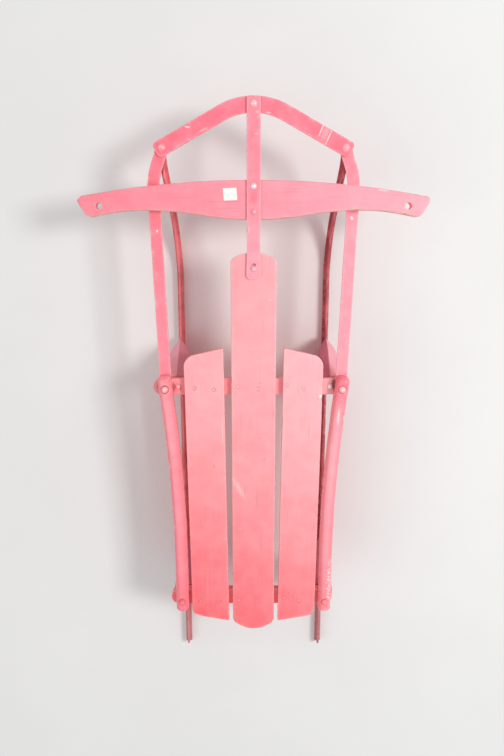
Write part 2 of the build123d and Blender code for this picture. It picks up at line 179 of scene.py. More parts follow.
def round_drop(distance: np.ndarray, radius: float) -> np.ndarray:
    """Returns how far a quarter round lies below its flat at a distance from the edge."""
    inside = radius - np.clip(distance, 0.0, radius)
    return radius - np.sqrt(np.maximum(radius**2 - inside**2, 0.0))


def edge_steps(radius: float, count: int) -> np.ndarray:
    """Returns distances from an edge that follow a quarter round in even turns."""
    return radius * (1.0 - np.cos(np.linspace(0.0, math.pi / 2, count)))


def curve_through(knots: np.ndarray, values: np.ndarray, at: np.ndarray) -> np.ndarray:
    """Returns a smooth curve through rows of values at knots.

    Between two knots it is the cubic that has their values and the slopes of their neighbours.

    Args:
        knots: where the values are given, rising.
        values: a row of values for each knot.
        at: where the curve is wanted.

    Returns:
        A row of values for each place that is wanted.
    """
    slopes = np.gradient(values, knots, axis=0)
    left = np.clip(np.searchsorted(knots, at, side="right") - 1, 0, len(knots) - 2)
    gap = (knots[left + 1] - knots[left])[:, None]
    share = (at - knots[left])[:, None] / gap
    rise = share * share * (3.0 - 2.0 * share)
    lead = share * (1.0 - share) ** 2 * slopes[left]
    trail = share * share * (share - 1.0) * slopes[left + 1]
    return values[left] * (1.0 - rise) + values[left + 1] * rise + gap * (lead + trail)


class Ripple:
    """A sum of sine waves with seeded lengths and phases, for slightly uneven surfaces."""

    WAVES = 8
    LENGTHS = (0.02, 0.3)

    def __init__(self, seed: int, height: float) -> None:
        """Draws the phases and slants of the waves.

        Args:
            seed: the seed of the draws.
            height: twice the height of the longest wave.
        """
        draw = np.random.default_rng(seed)
        self.pace = 2 * math.pi / np.geomspace(*self.LENGTHS, self.WAVES)
        self.phase = draw.uniform(0, 2 * math.pi, self.WAVES)
        self.slant = draw.uniform(-0.6, 0.6, self.WAVES)
        self.height = height * np.geomspace(0.15, 0.5, self.WAVES)

    def at(self, along: np.ndarray, across: Field) -> np.ndarray:
        """Returns the height at places given along and across a piece."""
        place = np.asarray(along)[..., None] + self.slant * np.asarray(across)[..., None]
        return (self.height * np.sin(self.pace * place + self.phase)).sum(-1)


class Skin:
    """Grids of points gathered into one closed mesh, with values for its paint at each point.

    The values are wear, how far the paint is rubbed off, on domed heads also a painted highlight; how dark
    the recesses are painted, as painted shade; and how far the paler paint is held back: on sides and
    undersides, and as painted shade on the knees' inner halves and the rails' flanks.
    """

    SHARP = math.radians(38)
    SAME_POINT = 2e-6
    LAYERS = ("wear", "grime", "shelter")

    def __init__(self) -> None:
        """Starts with no points."""
        self.points: list[np.ndarray] = []
        self.faces: list[np.ndarray] = []
        self.values: dict[str, list[np.ndarray]] = {layer: [] for layer in self.LAYERS}
        self.count = 0

    def add(
        self, grid: np.ndarray, closed: bool = False, keep: Optional[np.ndarray] = None, **layers: Field
    ) -> "Skin":
        """Adds a grid of points of shape rows, columns, 3.

        Args:
            grid: the points.
            closed: joins the last column to the first.
            keep: which faces to make, or all of them.
            layers: wear, the painted recess shade and the shelter with painted shade, each with a value for
                each point or one for all.

        Returns:
            The draft itself.
        """
        rows, columns = grid.shape[:2]
        faces = grid_faces(rows, columns, closed)
        self.faces.append((faces.reshape(-1, 4) if keep is None else faces[keep]) + self.count)
        self.points.append(grid.reshape(-1, 3))
        for layer, values in self.values.items():
            given = np.asarray(layers.get(layer, 0.0), float)
            values.append(np.broadcast_to(given, (rows, columns)).ravel())
        self.count += rows * columns
        return self

    def mesh(self, name: str) -> bpy.types.Mesh:
        """Makes the raw mesh, with each layer of values as an attribute of its points.

        Args:
            name: the mesh's name.

        Returns:
            The mesh.
        """
        points = np.concatenate(self.points).astype(np.float32)
        faces = np.concatenate(self.faces).astype(np.int32)
        mesh = bpy.data.meshes.new(name)
        mesh.vertices.add(len(points))
        mesh.vertices.foreach_set("co", points.ravel())
        mesh.loops.add(faces.size)
        mesh.loops.foreach_set("vertex_index", faces.ravel())
        mesh.polygons.add(len(faces))
        mesh.polygons.foreach_set("loop_start", np.arange(0, faces.size, 4, dtype=np.int32))
        for layer, values in self.values.items():
            mesh.attributes.new(layer, "FLOAT", "POINT")
            mesh.attributes[layer].data.foreach_set("value", np.concatenate(values).astype(np.float32))
        mesh.update(calc_edges=True)
        return mesh

    def build(self, name: str) -> bpy.types.Object:
        """Makes the object: doubles merged, faces outwards, smooth apart from real edges.

        Args:
            name: the object's name.

        Returns:
            The object, in the scene.
        """
        mesh = self.mesh(name)
        shape = bmesh.new()
        shape.from_mesh(mesh)
        bmesh.ops.remove_doubles(shape, verts=shape.verts, dist=self.SAME_POINT)
        bmesh.ops.dissolve_degenerate(shape, edges=shape.edges, dist=self.SAME_POINT / 2)
        loose = [vert for vert in shape.verts if not vert.link_faces]
        bmesh.ops.delete(shape, geom=loose, context="VERTS")
        bmesh.ops.recalc_face_normals(shape, faces=shape.faces)
        shape.to_mesh(mesh)
        open_edges = sum(1 for edge in shape.edges if len(edge.link_faces) != 2)
        shape.free()
        if open_edges:
            log.warning("%s has %d open edges", name, open_edges)
        mesh.shade_smooth()
        mesh.set_sharp_from_angle(angle=self.SHARP)
        return stand(bpy.data.objects.new(name, mesh))

    def place(self, name: str, body: str, slot: str, finish: "Finish", *nodes: str) -> bpy.types.Object:
        """Builds and dresses the piece, lets it ride on a body and hides the nodes that it stands for.

        Args:
            name: the piece's name.
            body: the body of the frame that it moves with, or nothing, where it rides on no body.
            slot: the record's material slot; it is not used.
            finish: its finish.
            nodes: the nodes of the frame that it replaces.

        Returns:
            The finished piece.
        """
        piece = self.build(name)
        piece.data.materials.append(finish.build(f"{name}_finish"))
        if body:
            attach(piece, body)
        if nodes:
            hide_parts(*nodes)
        log.info("%s: %d faces, rides on %s", name, len(piece.data.polygons), body or "a blend")
        return piece


def stand(thing: bpy.types.Object) -> bpy.types.Object:
    """Puts an object into the scene and returns it."""
    bpy.context.scene.collection.objects.link(thing)
    return thing


class Route:
    """A path of straight runs joined by arcs, measured along its length."""

    STEP = 0.0005

    def __init__(self, points: Sequence[Sequence[float]], radii: Sequence[float] = ()) -> None:
        """Rounds each inner point with its radius, or keeps the points as they are.

        An arc leaves each run at the radius times the tangent of half the turn before the corner.

        Args:
            points: the corners, in metres, in three dimensions.
            radii: one radius for each inner corner, or none where the points are dense.
        """
        corner = np.array(points, float)
        pieces = [corner[:1]] if radii else [corner]
        for before, here, after, radius in zip(corner[:-2], corner[1:-1], corner[2:], radii):
            inward, onward = unit(here - before), unit(after - here)
            turn = math.acos(float(np.clip(inward @ onward, -1.0, 1.0)))
            bend = unit(onward - inward * (inward @ onward))
            angle = np.linspace(0.0, turn, 9 + int(turn * radius / self.STEP))[:, None]
            start = here - inward * radius * math.tan(turn / 2)
            pieces.append(start + radius * (np.sin(angle) * inward + (1 - np.cos(angle)) * bend))
        if radii:
            pieces.append(corner[-1:])
        self.points = np.concatenate(pieces)
        self.places = np.r_[0.0, np.cumsum(np.linalg.norm(np.diff(self.points, axis=0), axis=1))]
        self.length = float(self.places[-1])

    def point(self, along: np.ndarray) -> np.ndarray:
        """Returns the points of the path at lengths along it."""
        return np.stack([np.interp(along, self.places, axis) for axis in self.points.T], -1)

    def at(self, along: np.ndarray) -> np.ndarray:
        """Works out points of the path, carried straight on past its ends.

        Args:
            along: lengths along the path.

        Returns:
            The points.
        """
        on_path = self.point(np.clip(along, 0.0, self.length))
        first, last = self.heading(np.array([0.0, self.length]))
        past = np.maximum(along - self.length, 0.0)[..., None] * last
        return on_path + past + np.minimum(along, 0.0)[..., None] * first

    def heading(self, along: np.ndarray) -> np.ndarray:
        """Works out the directions of the path, each from a little before a place to a little after it.

        Args:
            along: lengths along the path.

        Returns:
            Unit directions.
        """
        reach = 3 * self.STEP
        low = np.clip(along - reach, 0.0, self.length - 2 * reach)
        return unit(self.point(low + 2 * reach) - self.point(low))

    def axes(self, along: np.ndarray) -> tuple[np.ndarray, np.ndarray]:
        """Works out the cross directions of the path.

        Args:
            along: lengths along the path.

        Returns:
            Unit directions level to the side, and square to them and to the path.
        """
        way = self.heading(along)
        side = unit(np.cross(way, UP))
        return side, np.cross(side, way)


@dataclass(frozen=True)
class Spot:
    """A round recess or a slotted hole, placed along and across a slab."""

    along: float
    across: float
    radius: float
    depth: float = 0.0
    half_slot: float = 0.0
    # How dark the recess is painted: painted shade round a sunk head.
    dirt: float = 0.5

    @property
    def margin(self) -> float:
        """How far the grid is dense to each side of the spot."""
        return self.radius * 1.9

    @staticmethod
    def lines(reach: float) -> np.ndarray:
        """Returns evenly spaced offsets over the dense stretch."""
        return np.linspace(-reach, reach, int(np.clip(reach * 2 / 0.0009, 12, 26)))


@dataclass
class Slab:
    """A flat board or bar along a route, with rounded rims, shaped ends, recesses, holes and worn edges.

    A point is the route's point at a length, plus an offset to the side, plus a height above the middle
    of its thickness. Near the rims the height drops by a quarter round of the distance to the outline.
    """

    route: Route
    sides: tuple[Profile, Profile]
    thickness: float
    rims: Pair = (0.0015, 0.0008)
    start_corners: Pair = (0.003, 0.003)
    end_corners: Pair = (0.003, 0.003)
    start_shape: Profile = constant(0.0)
    end_shape: Profile = constant(0.0)
    step: float = 0.004
    seed: int = 1
    unevenness: float = 0.0002
    nicks: int = 0
    nick_depth: float = 0.0008
    side_wear: Pair = (1.0, 1.0)
    pits: tuple[Spot, ...] = ()
    holes: tuple[Spot, ...] = ()
    shelter: float = 0.0

    # How far in from the outline these reach: rubbed paint, nicks, their dents, sway, and calm rims.
    WEAR_REACH = 0.0012
    NICK_REACH = 0.003
    DENT_REACH = 0.0016
    SWAY_REACH = 0.004
    CALM_REACH = 0.01
    # How far outside a recess its depth and its painted shade fade out, as shares of its radius.
    DEPTH_EDGE = 0.25
    SHADE_EDGE = 0.12

    @property
    def widest(self) -> float:
        """The largest round of the rims and the corners."""
        return max(*self.rims, *self.start_corners, *self.end_corners)

    def limits(self, along: float) -> list[float]:
        """Returns the offsets of the two sides at one length."""
        return [float(side(np.array(along))) for side in self.sides]

    def columns(self) -> tuple[np.ndarray, np.ndarray]:
        """Places the columns of the grid, close together at the rims and beside the spots.

        Returns:
            Their shares from -1 at the low side to 1 at the high one, and their distances from a side.
        """
        low, high = self.limits(self.route.length / 2)
        zone = min(self.widest, (high - low) * 0.47)
        near = np.unique(np.round(np.r_[edge_steps(zone, 9), edge_steps(max(self.rims), 5)], 6))
        near = near[near <= zone + 1e-6]
        inner = int(max(3, (high - low - 2 * near[-1]) / self.step))
        share = np.linspace(-1.0, 1.0, inner + 1)
        for spot in self.pits + self.holes:
            low, high = self.limits(spot.along)
            room = high - low - 2 * near[-1]
            centre = (2 * spot.across - low - high) / room
            share = share[np.abs(share - centre) > 2 * spot.margin / room]
            share = np.r_[share, centre + spot.lines(spot.margin) * 2 / room]
        share = np.unique(np.round(share[np.abs(share) < 0.999], 5))
        share = np.r_[-np.ones(len(near)), share, np.ones(len(near))]
        return share, np.r_[near, np.full(len(share) - 2 * len(near), near[-1]), near[::-1]]

    def rows(self) -> np.ndarray:
        """Places the rows of the grid, close together at the ends and beside the spots.

        Returns:
            Their lengths along the route.
        """
        rim, length = max(self.rims), self.route.length
        rim = np.unique(np.r_[edge_steps(rim, 5), rim * 1.6, edge_steps(self.widest, 6)])
        even = np.linspace(rim[-1], length - rim[-1], int(length / self.step))[1:-1]
        for spot in self.pits + self.holes:
            reach = spot.margin + spot.half_slot
            even = np.r_[even[np.abs(even - spot.along) > reach], spot.along + spot.lines(reach)]
        return np.unique(np.round(np.r_[rim, even, length - rim], 6))

    @staticmethod
    def offsets(low: Field, high: Field, share: np.ndarray, near: np.ndarray) -> np.ndarray:
        """Returns the columns' offsets: just inside the low side at a share of -1, the high one at 1."""
        return ((low + near) * (1.0 - share) + (high - near) * (1.0 + share)) / 2

    def end_line(
        self, along: float, share: np.ndarray, near: np.ndarray, shape: Profile, radii: Pair
    ) -> tuple[np.ndarray, np.ndarray]:
        """Works out how far an end pulls each column in, and how its slope shortens distances.

        The pull is the end's shape plus the quarter rounds of its two corners.

        Args:
            along: length of the end.
            share: the columns' shares.
            near: the columns' distances from a side.
            shape: the end's shape over -1 to 1 across it.
            radii: the rounds of the low and the high corner.

        Returns:
            The pull, and the cosine of the outline's slope, for each column.
        """
        low, high = self.limits(along)
        offset = self.offsets(low, high, share, near)
        across = (2 * offset - low - high) / (high - low)
        pull = shape(across) + round_drop(offset - low, radii[0]) + round_drop(high - offset, radii[1])
        return pull, 1.0 / np.sqrt(1.0 + np.gradient(pull, offset) ** 2)

    def skin(self) -> Skin:
        """Works out the top, the bottom and the wall between them as grids.

        Returns:
            The mesh draft.
        """
        share, near = self.columns()
        rows, length = self.rows()[:, None], self.route.length
        start, start_slope = self.end_line(0.0, share, near, self.start_shape, self.start_corners)
        end, end_slope = self.end_line(length, share, near, self.end_shape, self.end_corners)
        reach = max(4 * float(start.max()), 4 * float(end.max()), 0.02)
        fades = [np.clip(1.0 - gap / reach, 0.0, 1.0) ** 2 for gap in (rows, length - rows)]
        along = rows + start * fades[0] - end * fades[1]
        low, high = self.sides[0](along), self.sides[1](along)
        offset = self.offsets(low, high, share, near)
        to_side = np.minimum(offset - low, high - offset)
        to_end = np.minimum((along - start) * start_slope, (length - end - along) * end_slope)
        inside = np.maximum(np.minimum(to_side, to_end), 0.0)

        wander = Ripple(self.seed, self.unevenness)
        high_side = offset > (low + high) / 2
        nick = self.nick_field(along, high_side)
        sideways = wander.at(along, 0.01) * 0.7 * np.exp(-inside / self.SWAY_REACH)
        bump = wander.at(along, offset) * (1.0 - np.exp(-inside / self.CALM_REACH))
        depth = self.pit_field(along, offset, [pit.depth for pit in self.pits], self.DEPTH_EDGE)
        # Painted shade in and round each recess, where a sunk head would cast it.
        grime = self.pit_field(along, offset, [pit.dirt for pit in self.pits], self.SHADE_EDGE)
        top = self.thickness / 2 - round_drop(inside, self.rims[0]) + bump
        top = top - nick * np.exp(-inside / self.DENT_REACH) * 1.2 - depth
        bottom = -self.thickness / 2 + round_drop(inside, self.rims[1]) + bump
        inward = np.where(high_side, -1.0, 1.0) * nick * np.exp(-inside / self.NICK_REACH)
        rubbed = np.exp(-inside / self.WEAR_REACH)
        wear = rubbed + 1.5 * nick / self.nick_depth * np.exp(-inside / self.NICK_REACH)
        wear = np.clip(wear, 0.0, 1.0) * np.where(high_side, self.side_wear[1], self.side_wear[0])
        upper = self.points_at(along, offset + sideways + inward, top)
        lower = self.points_at(along, offset + sideways, bottom)

        draft = Skin()
        keep = np.ones((len(rows) - 1, len(share) - 1), bool)
        for hole in self.holes:
            self.cut_hole(draft, hole, (along, offset), (upper, lower), keep)
        # Where the top rounds down the deep paint is kept: sheltered paint and, on the rails, painted shade
        # of the round top.
        flank_shelter_and_shade = np.sqrt(round_drop(inside, self.rims[0]) / self.rims[0]) * self.shelter
        draft.add(upper, keep=keep, wear=wear, grime=grime, shelter=flank_shelter_and_shade)
        draft.add(lower, keep=keep, wear=rubbed, shelter=1.0)
        levels = np.linspace(0.0, 1.0, 5)[:, None, None]
        wall = outline_of(upper) * (1.0 - levels) + outline_of(lower) * levels
        fall = np.array([1.0, 0.35, 0.1, 0.2, 0.7])[:, None]
        shade = np.array([self.shelter, 0.7, 0.8, 0.9, 1.0])[:, None]
        return draft.add(wall, closed=True, wear=outline_of(wear) * fall, shelter=shade)

    def cut_hole(
        self, draft: Skin, hole: Spot, places: tuple[np.ndarray, ...], layers: tuple[np.ndarray, ...],
        keep: np.ndarray,
    ) -> None:
        """Opens a hole: rings from the edge of a window in the grid to the hole's outline, and its wall.

        A ring's point lies between the window's point and the nearest point of the slot-shaped outline.

        Args:
            draft: the mesh draft.
            hole: the hole's place and size.
            places: the grid's lengths and offsets.
            layers: the grid's upper and lower points.
            keep: the grid's faces, of which the window's are taken out.
        """
        along, offset = places
        reach, slot = hole.radius * 1.6, hole.half_slot
        row = offset[np.argmin(np.abs(along[:, along.shape[1] // 2] - hole.along))]
        line = along[:, np.argmin(np.abs(row - hole.across))]
        first, last = np.searchsorted(line, (hole.along - reach - slot, hole.along + reach + slot))
        left, right = np.searchsorted(row, (hole.across - reach, hole.across + reach))
        window = (slice(first - 1, last + 1), slice(left - 1, right + 1))
        keep[first - 1 : last, left - 1 : right] = False
        apart_along = outline_of(along[window])[0] - hole.along
        apart_across = outline_of(offset[window])[0] - hole.across
        base = np.clip(apart_along, -slot, slot)
        away = np.hypot(apart_along - base, apart_across) / hole.radius
        on_along = hole.along + base + (apart_along - base) / away
        on_across = hole.across + apart_across / away
        share = np.array([1.0, 0.6, 0.3, 0.08, 0.0])[:, None, None]
        drop = np.array([0.0, 0.0, 0.0, 0.15, 1.0])[:, None, None] * hole.radius * 0.09
        worn = np.clip(0.7 - 2.0 * share[..., 0], 0.0, 1.0)
        rings = []
        for grid, sign, shade in zip(layers, (1.0, -1.0), (0.0, 1.0)):
            rim = self.points_at(on_along, on_across, np.full_like(on_along, sign * self.thickness / 2))
            ring = outline_of(grid[window]) * share + rim * (1.0 - share) - sign * UP * drop
            draft.add(ring, closed=True, wear=worn, shelter=shade)
            rings.append(ring[-1:])
        levels = np.linspace(0.0, 1.0, 4)[:, None, None]
        draft.add(rings[0] * (1.0 - levels) + rings[1] * levels, closed=True, wear=0.3, shelter=1.0)

    def pit_field(
        self, along: np.ndarray, offset: np.ndarray, values: Sequence[float], edge: float
    ) -> np.ndarray:
        """Spreads a value over each recess: full inside its radius, fading out round it.

        Args:
            along: lengths of the points.
            offset: offsets of the points to the side.
            values: the full value of each recess.
            edge: the width of the fading, as a share of the radius.

        Returns:
            The value at each point.
        """
        total = np.zeros_like(along)
        for pit, value in zip(self.pits, values):
            away = np.hypot(along - pit.along, offset - pit.across) - pit.radius
            total = np.maximum(total, value * (1.0 - eased(away / (pit.radius * edge))))
        return total

    def nick_field(self, along: np.ndarray, high_side: np.ndarray) -> np.ndarray:
        """Works out the edge's nicks: a few seeded humps along each side.

        Args:
            along: lengths of the points.
            high_side: whether each point is on the high side.

        Returns:
            The depth at each point.
        """
        draw = np.random.default_rng(self.seed + 50)
        total = np.zeros_like(along)
        for centre, size, depth, side in zip(
            draw.uniform(0.0, self.route.length, self.nicks),
            draw.uniform(0.0015, 0.006, self.nicks),
            draw.uniform(0.3, 1.0, self.nicks) * self.nick_depth,
            draw.integers(0, 2, self.nicks),
        ):
            total += depth * np.exp(-(((along - centre) / size) ** 2)) * (high_side == bool(side))
        return total

    def points_at(self, along: np.ndarray, offset: np.ndarray, height: np.ndarray) -> np.ndarray:
        """Returns the points at lengths, offsets to the side and heights above the middle layer."""
        side, up = self.route.axes(along)
        return self.route.at(along) + side * offset[..., None] + up * height[..., None]


def steel_bar(
    route: Route, sides: tuple[Profile, Profile], seed: int, nicks: int, corner: float, **changes: object
) -> Slab:
    """Makes a bar of flat steel.

    Args:
        route: the line of its middle.
        sides: its two edges.
        seed: the seed of its nicks and waves.
        nicks: number of nicks.
        corner: the round of its corners, unless the changes say otherwise.
        changes: other values of the slab.

    Returns:
        The bar.
    """
    common = dict(rims=(0.0007, 0.0007), step=0.003, nick_depth=0.0004, unevenness=0.00012)
    rounds = dict(start_corners=(corner, corner), end_corners=(corner, corner))
    return Slab(route, sides, STEEL, seed=seed, nicks=nicks, **(common | rounds | changes))


def turned(
    profile: Sequence[Pair], foot: Sequence[float], axis: Sequence[float], points: int = 36, flats: int = 0
) -> np.ndarray:
    """Turns a profile of radius and height round an axis.

    With flats, the radius at an angle is the flat's distance over the cosine of the angle to its middle.

    Args:
        profile: radius and height of each ring.
        foot: the foot of the axis.
        axis: the axis, a unit vector.
        points: number of points in a ring.
        flats: number of flats, or 0 for a round piece.

    Returns:
        A grid of points, ring by ring.
    """
    rings, lead = np.array(profile, float), np.array(axis, float)
    angle = np.arange(points) * 2 * math.pi / points
    swell = np.ones(points)
    if flats:
        swell = 1.0 / np.cos((angle + math.pi / flats) % (2 * math.pi / flats) - math.pi / flats)
    first = np.cross(lead, UP) if abs(lead[2]) < 0.9 else np.array([1.0, 0.0, 0.0])
    radius = (rings[:, :1] * swell)[..., None]
    round_about = np.cos(angle)[:, None] * first + np.sin(angle)[:, None] * np.cross(lead, first)
    return np.asarray(foot, float) + radius * round_about + rings[:, 1:, None] * lead


@dataclass
class Fastener:
    """A domed bolt, screw or rivet with its shank, and the nut below where there is one."""

    foot: np.ndarray
    head_radius: float
    head_height: float = HEAD
    skirt: float = 0.0
    shank_radius: float = 0.0032
    shank_length: float = 0.03
    nut_radius: float = 0.0048
    nut_height: float = 0.004
    axis: tuple[float, float, float] = (0.0, 0.0, 1.0)

    TAIL = 0.001
    SOFT = 0.0003

    def dome(self, count: int = 8) -> list[Pair]:
        """Works out a round head from its crown to its rim: an arc of the head's radius and height.

        Args:
            count: number of rings.

        Returns:
            Radius and height of each ring.
        """
        radius = (self.head_radius**2 + self.head_height**2) / (2 * self.head_height)
        turn = math.asin(min(1.0, self.head_radius / radius))
        steps = np.linspace(0.0, turn, count)
        return [(radius * math.sin(a), self.head_height - radius * (1 - math.cos(a))) for a in steps]

    def skin(self, draft: Optional[Skin] = None) -> Skin:
        """Adds the head with its shank, and the nut, to a mesh draft.

        Args:
            draft: the mesh draft, or none for a new one.

        Returns:
            The draft.
        """
        draft = draft or Skin()
        soft, rim, shank = self.SOFT, self.head_radius, self.shank_radius
        under, end = -self.skirt - soft * 0.4, -self.shank_length
        profile = self.dome() + [(rim, -self.skirt * 0.5 - soft * 0.1), (rim - soft, under)]
        profile += [(shank, under), (shank, end + soft), (shank - soft, end), (0.0, end)]
        # The crown is worn pale: rubbed paint, and a painted highlight on the dome.
        crown = np.linspace(0.9, 0.0, len(profile))[:, None]
        draft.add(turned(profile, self.foot, self.axis), closed=True, wear=crown)
        if self.nut_height > 0:
            low = self.TAIL - self.shank_length
            high, wide = low + self.nut_height, self.nut_radius
            nut = [(shank * 0.9, low), (wide * 0.9, low), (wide, low + soft * 2)]
            nut += [(wide, high - soft * 2), (wide * 0.9, high), (shank * 0.9, high), (shank * 0.9, low)]
            draft.add(turned(nut, self.foot, self.axis, flats=6), closed=True, wear=0.3, shelter=1.0)
        return draft

    @classmethod
    def standing_in(cls, node: str, head_radius: float, **changes: float) -> "Fastener":
        """Makes the bolt that fills a node's box: its crown at the top, its shank's end at the bottom.

        Args:
            node: the node.
            head_radius: radius of its head.
            changes: other sizes.

        Returns:
            The bolt.
        """
        low, high = corners(node)
        foot = np.array([*middle(node)[:2], high[2] - HEAD])
        return cls(foot, head_radius, shank_length=float(foot[2] - low[2]), **changes)


def place_fasteners(name: str, fasteners: Sequence[Fastener], finish: "Finish") -> None:
    """Builds a set of fasteners as one piece that rides on the root.

    Args:
        name: the piece's name.
        fasteners: the bolts, screws or rivets.
        finish: their finish.
    """
    draft = Skin()
    for fastener in fasteners:
        fastener.skin(draft)
    draft.place(name, "root", "fastener_steel", finish)


class NodeKit:
    """Short ways to add shader nodes to one material."""

    def __init__(self, name: str) -> None:
        """Makes an empty node material with its output and main shader.

        Args:
            name: the material's name.
        """
        self.material = bpy.data.materials.new(name)
        self.material.use_nodes = True
        self.tree = self.material.node_tree
        self.shader = self.tree.nodes["Principled BSDF"]
        self.place = self.node("ShaderNodeTexCoord").outputs["Object"]
        split = self.node("ShaderNodeSeparateXYZ")
        self.feed(split.inputs[0], self.place)
        self.x, self.y, self.z = split.outputs

    def node(self, kind: str, **settings: object) -> bpy.types.Node:
        """Adds a node.

        Args:
            kind: the node's type.
            settings: its properties.

        Returns:
            The node.
        """
        made = self.tree.nodes.new(kind)
        for key, value in settings.items():
            setattr(made, key, value)
        return made

    def feed(self, socket: Socket, value: Value) -> None:
        """Links an output to a socket, or sets the socket.

        Args:
            socket: the input.
            value: an output, or a number, colour or vector.
        """
        if isinstance(value, Socket):
            self.tree.links.new(value, socket)
        else:
            socket.default_value = (*value, 1.0) if socket.type == "RGBA" else value

    def made(
        self, node: bpy.types.Node, inputs: dict[int | str, Value], output: int | str = 0
    ) -> Socket:
        """Feeds a node.

        Args:
            node: the node.
            inputs: values by the names or numbers of its inputs.
            output: name or number of the output that is wanted.

        Returns:
            The output.
        """
        for key, value in inputs.items():
            self.feed(node.inputs[key], value)
        return node.outputs[output]

    def math(self, operation: str, first: Value, second: Value = 0.0, held: bool = False) -> Socket:
        """Adds a math node on one or two values."""
        made = self.node("ShaderNodeMath", operation=operation, use_clamp=held)
        return self.made(made, {0: first, 1: second})

    def plus(self, *values: Value) -> Socket:
        """Adds values up."""
        return reduce(lambda first, second: self.math("ADD", first, second), values)

    def times(self, *values: Value) -> Socket:
        """Multiplies values."""
        return reduce(lambda first, second: self.math("MULTIPLY", first, second), values)

    def mapped(
        self, value: Value, low: float, high: float, to_low: float = 0.0, to_high: float = 1.0
    ) -> Socket:
        """Maps a range of values smoothly to another and holds it at both ends."""
        made = self.node("ShaderNodeMapRange", interpolation_type="SMOOTHSTEP")
        return self.made(made, dict(enumerate((value, low, high, to_low, to_high))))

    def mapping(self, kind: str, **inputs: Sequence[float]) -> Socket:
        """Returns the object's coordinates, moved, turned and stretched."""
        return self.made(self.node("ShaderNodeMapping", vector_type=kind), {"Vector": self.place, **inputs})

    def noise(self, vector: Socket, scale: float, detail: float = 3.0, rough: float = 0.55) -> Socket:
        """Adds a noise texture and returns its value."""
        inputs = {"Vector": vector, "Scale": scale, "Detail": detail, "Roughness": rough}
        return self.made(self.node("ShaderNodeTexNoise"), inputs)

    def patches(
        self, vector: Socket, size: Sequence[float], low: float, high: float, to_low: float = 0.0,
        to_high: float = 1.0,
    ) -> Socket:
        """Adds a noise texture, its size given by scale, detail and roughness, and maps its value."""
        return self.mapped(self.noise(vector, *size), low, high, to_low, to_high)

    def blend(self, share: Value, first: Value, second: Value) -> Socket:
        """Mixes two colours by a share."""
        return self.made(self.node("ShaderNodeMix", data_type="RGBA"), {0: share, 6: first, 7: second}, 2)

    def attribute(self, name: str) -> Socket:
        """Returns a value that the mesh holds at its points."""
        return self.node("ShaderNodeAttribute", attribute_name=name).outputs["Fac"]

    def bump(
        self, height: Value, distance: float, strength: float = 1.0, below: Optional[Socket] = None
    ) -> Socket:
        """Adds a bump.

        Args:
            height: its pattern.
            distance: its height in metres.
            strength: its strength.
            below: another normal that it lies on, if there is one.

        Returns:
            The bumped normal.
        """
        inputs = {"Strength": strength, "Distance": distance, "Height": height}
        lower = {} if below is None else {"Normal": below}
        return self.made(self.node("ShaderNodeBump"), inputs | lower)

    def surface(self, colour: Value, roughness: Value, normal: Socket, metallic: Value = 0.0) -> None:
        """Feeds the main shader."""
        inputs = {"Base Color": colour, "Roughness": roughness, "Normal": normal, "Metallic": metallic}
        self.made(self.shader, inputs)


@dataclass(frozen=True)
class Mark:
    """A scuff, scratch, spot, patch of specks, painted shadow or painted highlight: a soft oval at a place,
    in metres, turned about Z.
    """

    x: float
    y: float
    half_length: float
    half_width: float
    turn: float = 0.0
    strength: float = 0.6
    softness: float = 0.5
    tone: Tone = Tone.PALE
    specks: bool = False

    THROUGH = 1e6  # so tall that the height never counts

    def over(self, kit: NodeKit, colour: Value) -> Socket:
        """Lays the mark over a colour, by 1 minus its oval distance, made ragged by noise.

        Args:
            kit: the material's nodes.
            colour: the colour below.

        Returns:
            The colour with the mark.
        """
        oval = kit.mapping(
            "TEXTURE", Location=(self.x, self.y, 0.0), Rotation=(0.0, 0.0, math.radians(self.turn)),
            Scale=(self.half_length, self.half_width, self.THROUGH),
        )
        size = kit.made(kit.node("ShaderNodeVectorMath", operation="LENGTH"), {0: oval}, "Value")
        ragged = kit.plus(size, kit.patches(kit.place, (700.0,), 0.3, 0.7, -0.3, 0.3))
        cover = kit.mapped(ragged, 1.0 - self.softness, 1.0, 1.0, 0.0)
        if self.specks:
            cover = kit.times(cover, kit.patches(kit.place, (330.0, 4.0, 0.7), 0.50, 0.56))
        return kit.blend(kit.times(cover, self.strength), colour, self.tone.value)


@dataclass(frozen=True)
class Finish:
    """A procedural finish; each kind adds its own nodes."""

    def dress(self, kit: NodeKit) -> None:
        """Adds the nodes of this finish."""
        raise NotImplementedError

    def build(self, name: str) -> bpy.types.Material:
        """Makes the material.

        Args:
            name: the material's name.

        Returns:
            The material.
        """
        kit = NodeKit(name)
        self.dress(kit)
        return kit.material


